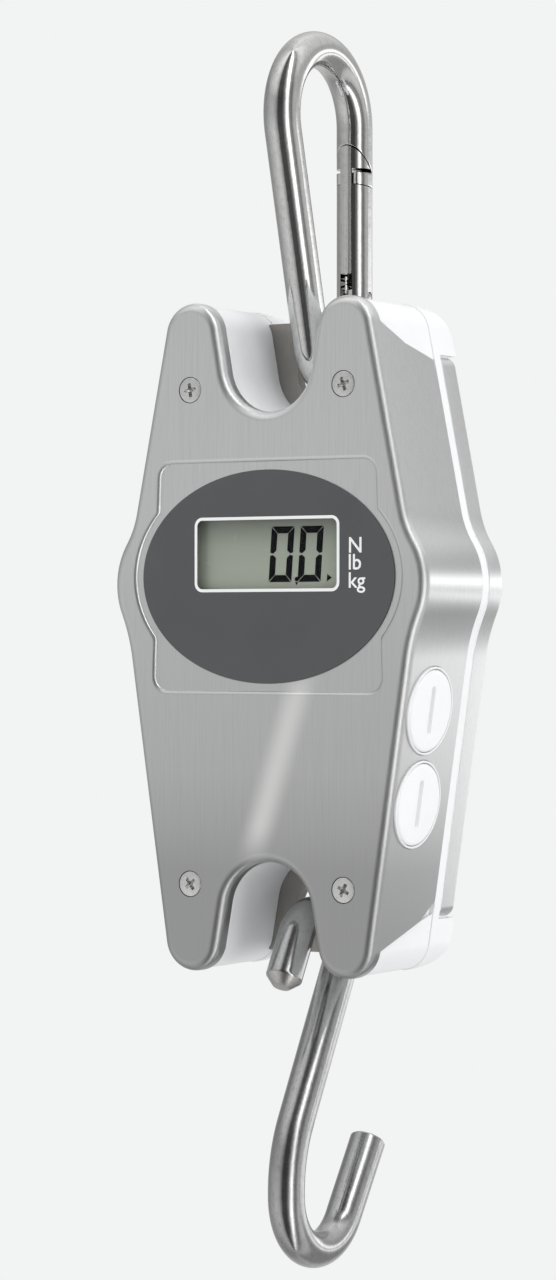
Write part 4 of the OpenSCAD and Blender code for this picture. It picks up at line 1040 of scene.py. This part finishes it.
gate = cylinder("spring_gate", 3.98, GATE_BOTTOM - PIVOT_Z, NOSE_Z + 8 - PIVOT_Z, GATE_AXIS, 72)
above_wedge = [(-FAR, wedge_line(-FAR, WEDGE_GAP)), (FAR, wedge_line(FAR, WEDGE_GAP)), (FAR, 0), (-FAR, 0)]
under, under_core = head_floor(FAR, GATE_GAP), head_floor(CORE_Y, GATE_GAP)
pocket = [(-FAR, WEDGE_BOTTOM), (-FAR, head_floor(-FAR, GATE_GAP)), (FAR, under), (FAR, WEDGE_BOTTOM)]
behind_core = [(CORE_Y, under_core), (FAR, under), (FAR, 0), (CORE_Y, 0)]
cut(gate, [latch_profile("above_wedge", above_wedge),
           latch_profile("pocket_right", pocket, CORE_W, 12),
           latch_profile("pocket_left", pocket, -12, -CORE_W),
           latch_profile("behind_core", behind_core),
           cuboid("bottom_slot", (-1.5, GATE_Y - 10, GATE_BOTTOM - 2), (1.5, GATE_Y + 10, SLOT_TOP)),
           cylinder("spring_bore", 2.2, 0, 16, GATE_AXIS, 32),
           cylinder("pin_hole", PIN_HOLE_R, -10, 10, PIN_AXIS, 32)])
finish_mesh(gate, 0.1, 2, 40)
place(gate, "gate", SNAP_STEEL, "hook_polished", "snap_hook_gate")

pin_start = [(0, -HALF_PIN), (PIN_R * 0.72, -HALF_PIN), (PIN_R * 0.97, 0.22 - HALF_PIN),
             (PIN_R, 0.4 - HALF_PIN)]
pin = lathe("gate_pivot_pin", pin_start + [(r, -h) for r, h in pin_start[::-1]], PIN_AXIS, 40)
place(pin, "snap_hook", END_STEEL, "screw_steel", "gate_pin")

# load hook: two bends over the lower lug, the sweep down to the throat, and the tip
HOOK_R, HOOK_LEAN = 8.0, 30.0
HOOK_TOP = -60.6
FRONT_BEND, REAR_BEND = (1.8, HOOK_TOP - HOOK_R), (6.5, HOOK_TOP - HOOK_R)
THROAT_R, THROAT = 13.3, (4.1, -120.6)
FREE_LENGTH, TIP_LENGTH, TIP_LEAN = 10.3, 18.8, 35.0
FREE_CHAMFER = ((2.1, 1.84), (2.06, 1.95), (1.0, 3.0), (0.1, 3.88), (-0.1, 3.97), (-0.35, 4.0))
TIP_CHAMFER = ((0.12, 3.97), (0.3, 3.84), (0.42, 3.7))


def beyond(p, d, lean_of_rod):
    """The point d mm up from p along a rod leaning to the rear."""
    return (p[0] + d * sind(lean_of_rod), p[1] + d * cosd(lean_of_rod))


back_x, sweep_z = THROAT[0] - THROAT_R, THROAT[1] + 1
sweep_r = (cosd(HOOK_LEAN) * (back_x - REAR_BEND[0]) - sind(HOOK_LEAN) * (sweep_z - REAR_BEND[1])
           - HOOK_R) / (1 - cosd(HOOK_LEAN))
sweep = (back_x + sweep_r, sweep_z)
free_top = polar(FRONT_BEND, HOOK_R, 180 - HOOK_LEAN)
free_end = beyond(free_top, -FREE_LENGTH, HOOK_LEAN)
tip_start = polar(THROAT, THROAT_R, -TIP_LEAN)
tip_end = beyond(tip_start, TIP_LENGTH, TIP_LEAN)
path = [beyond(free_end, -d, HOOK_LEAN) for d, _ in FREE_CHAMFER]
path += straight(beyond(free_end, 0.6, HOOK_LEAN), free_top, 8)
path += arc(FRONT_BEND, HOOK_R, 180 - HOOK_LEAN, 90, 20)[1:]
path += straight(polar(FRONT_BEND, HOOK_R, 90), polar(REAR_BEND, HOOK_R, 90), 4)[1:]
path += arc(REAR_BEND, HOOK_R, 90, -HOOK_LEAN, 28)[1:]
path += straight(polar(REAR_BEND, HOOK_R, -HOOK_LEAN), polar(sweep, sweep_r, 180 - HOOK_LEAN), 16)[1:]
path += arc(sweep, sweep_r, 180 - HOOK_LEAN, 180, 16)[1:]
path += arc(THROAT, THROAT_R, 180, 360 - TIP_LEAN, 44)
path += straight(tip_start, tip_end, 12)[1:]
radii = [r for _, r in FREE_CHAMFER] + [ROD] * (len(path) - len(FREE_CHAMFER)) + [r for _, r in TIP_CHAMFER]
path += [beyond(tip_end, d, TIP_LEAN) for d, _ in TIP_CHAMFER]
hook = tube_path("load_hook_rod", [(y + BODY_Y, z + BODY_Z) for y, z in path], radii)
finish_mesh(hook, 0, 2, 28)
place(hook, "hook", HOOK_STEEL, "hook_satin", "load_hook")

# the turned steel shows on the free end's chamfer only
hook.data.materials.append(END_STEEL)
end_centre = at_body(0, *free_end)
end_way = Vector((0, -sind(HOOK_LEAN), -cosd(HOOK_LEAN)))
for poly in hook.data.polygons:
    from_end = poly.center - end_centre
    if from_end.dot(end_way) > 0.1 * MM and from_end.length < 6 * MM:
        poly.material_index = 1

# ---- materials of the CAD nodes that stay
STAYING = ((RUBBER, "housing_gasket lug_seals lcd_strips"), (BOARD, "main_board key_board"),
           (BLACK_PART, "board_parts key_switches"), (SCREW_STEEL, "board_screws load_cell_screws"),
           (LUG_METAL, "load_cell"), (COPPER_FILM, "strain_gauges gauge_flex"),
           (SPRING_STEEL, "cell_springs cap_contact_upper cap_contact_lower"),
           (BATTERY, "battery_upper battery_lower"), (PAINTED_SHADE_SPRING, "gate_spring"))
for material, nodes in STAYING:
    for node in nodes.split():
        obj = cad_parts[node]
        if not obj.data.materials:
            obj.data.materials.append(material)
        for i in range(len(obj.data.materials)):
            obj.data.materials[i] = material

# ---- stage, light and camera
BACKDROP = (0.890, 0.896, 0.896)
# brightness by compass direction in degrees, 0 the front and 90 the right
AROUND = ((-180, 0.9), (-140, 0.7), (-112, 0.5), (-90, 0.55), (-68, 0.72), (-48, 0.84), (-30, 0.92),
          (-16, 0.8), (-4, 0.5), (6, 0.1), (30, 0.1), (44, 0.35), (54, 1.5), (62, 3.4), (70, 2.2), (78, 0.5),
          (92, 0.35), (102, 0.75), (112, 0.95), (130, 0.88), (149, 0.95), (180, 0.95))
# brightness by height, from 0 straight down to 1 straight up
HEIGHT = ((0.0, 1.0), (0.34, 1.2), (0.44, 1.08), (0.5, 1.0), (0.58, 0.9), (0.68, 0.85),
          (0.8, 1.3), (1.0, 1.8))
# how far the right flank's own brightness by height takes over, by compass direction
BESIDE = ((-180, 0.5), (-165, 0.0), (122, 0.0), (134, 1.0), (166, 1.0), (180, 0.5))
BESIDE_HEIGHT = ((0.0, 0.5), (0.3, 0.5), (0.36, 0.6), (0.4, 1.0), (0.414, 1.85), (0.44, 2.1), (0.462, 1.0),
                 (0.485, 1.45), (0.5, 2.3), (0.52, 2.9), (0.545, 1.9), (0.575, 0.9), (0.6, 0.74),
                 (0.65, 0.75), (0.75, 1.0), (1.0, 1.3))


def pale_floor():
    bm = bmesh.new()
    bmesh.ops.create_circle(bm, cap_ends=True, segments=96, radius=40)
    mesh = bpy.data.meshes.new("pale_floor")
    bm.to_mesh(mesh)
    bm.free()
    obj = new_object("pale_floor", mesh)
    obj.location = (0, 0, -0.9)
    n = Nodes("pale_floor")
    n.tree.nodes.remove(n.shader)
    emit = n.node("ShaderNodeEmission")
    emit.inputs["Color"].default_value = (*BACKDROP, 1)
    n.link(emit.outputs[0], n.tree.nodes["Material Output"].inputs["Surface"])
    mesh.materials.append(n.material)
    obj.visible_glossy = False


def studio_world():
    """Soft surroundings: brightness by compass direction and by height, and a plain backdrop."""
    world = bpy.data.worlds.new("studio")
    bpy.context.scene.world = world
    world.use_nodes = True
    world.node_tree.nodes.clear()
    n = Tree(world.node_tree)

    def level(fac, stops):
        """A brightness ramp; its stops hold quarters, as colours end at 1."""
        quarters = [(pos, v / 4) for pos, v in stops]
        return n.math("MULTIPLY", n.ramp(fac, quarters, "EASE"), 4.0)

    x, y, z = n.apart("Generated")
    compass = n.math("ARCTAN2", x, n.math("MULTIPLY", y, -1.0))
    around = n.math("ADD", n.math("DIVIDE", compass, 2 * math.pi), 0.5)
    height = n.linear(z, 0.5, 0.5)
    around_light = level(around, [(degrees / 360 + 0.5, v) for degrees, v in AROUND])
    height_light = level(height, HEIGHT)
    beside = level(around, [(degrees / 360 + 0.5, v) for degrees, v in BESIDE])
    beside_light = level(height, BESIDE_HEIGHT)
    everywhere = n.math("MULTIPLY", around_light, height_light)
    strength = n.math("ADD", n.math("MULTIPLY", everywhere, n.math("SUBTRACT", 1.0, beside)),
                      n.math("MULTIPLY", beside, beside_light))
    studio = n.node("ShaderNodeBackground")
    n.link(strength, studio.inputs["Strength"])
    plain = n.node("ShaderNodeBackground")
    plain.inputs["Color"].default_value = (*BACKDROP, 1)
    mix = n.node("ShaderNodeMixShader")
    n.link(n.node("ShaderNodeLightPath").outputs["Is Camera Ray"], mix.inputs["Fac"])
    n.link(studio.outputs[0], mix.inputs[1])
    n.link(plain.outputs[0], mix.inputs[2])
    n.link(mix.outputs[0], n.node("ShaderNodeOutputWorld").inputs["Surface"])


def soft_light(name, place_at, size, power):
    """Area light on the body's middle, itself unseen."""
    data = bpy.data.lights.new(name, "AREA")
    data.shape = "RECTANGLE"
    data.size, data.size_y = size
    data.energy = power
    obj = new_object(name, data)
    obj.location = place_at
    obj.rotation_euler = (at_body(0, 0, 0) - Vector(place_at)).to_track_quat("-Z", "Y").to_euler()
    obj.visible_glossy = False
    obj.visible_camera = False


pale_floor()
studio_world()
soft_light("overhead_softbox", (0.2, -0.5, 1.1), (1.2, 1.0), 7.0)
soft_light("left_softbox", (-1.1, -0.8, 0.3), (0.9, 1.2), 5.0)
soft_light("right_softbox", (1.3, -0.1, -0.1), (0.9, 1.2), 3.6)

data = bpy.data.cameras.new("photo_camera")
camera = new_object("photo_camera", data)
AZIMUTH, DISTANCE = 31.0, 775.0
camera.location = Vector((DISTANCE * sind(AZIMUTH), BODY_Y - DISTANCE * cosd(AZIMUTH), BODY_Z)) * MM
camera.rotation_euler = (math.radians(90), 0, math.radians(AZIMUTH))
data.sensor_fit = "VERTICAL"
data.sensor_height = 36.0
data.lens = 100.06875
data.shift_x, data.shift_y = -0.023671875, -0.00234375
data.clip_start = 0.01
bpy.context.scene.camera = camera
bpy.context.scene.view_settings.view_transform = "Standard"
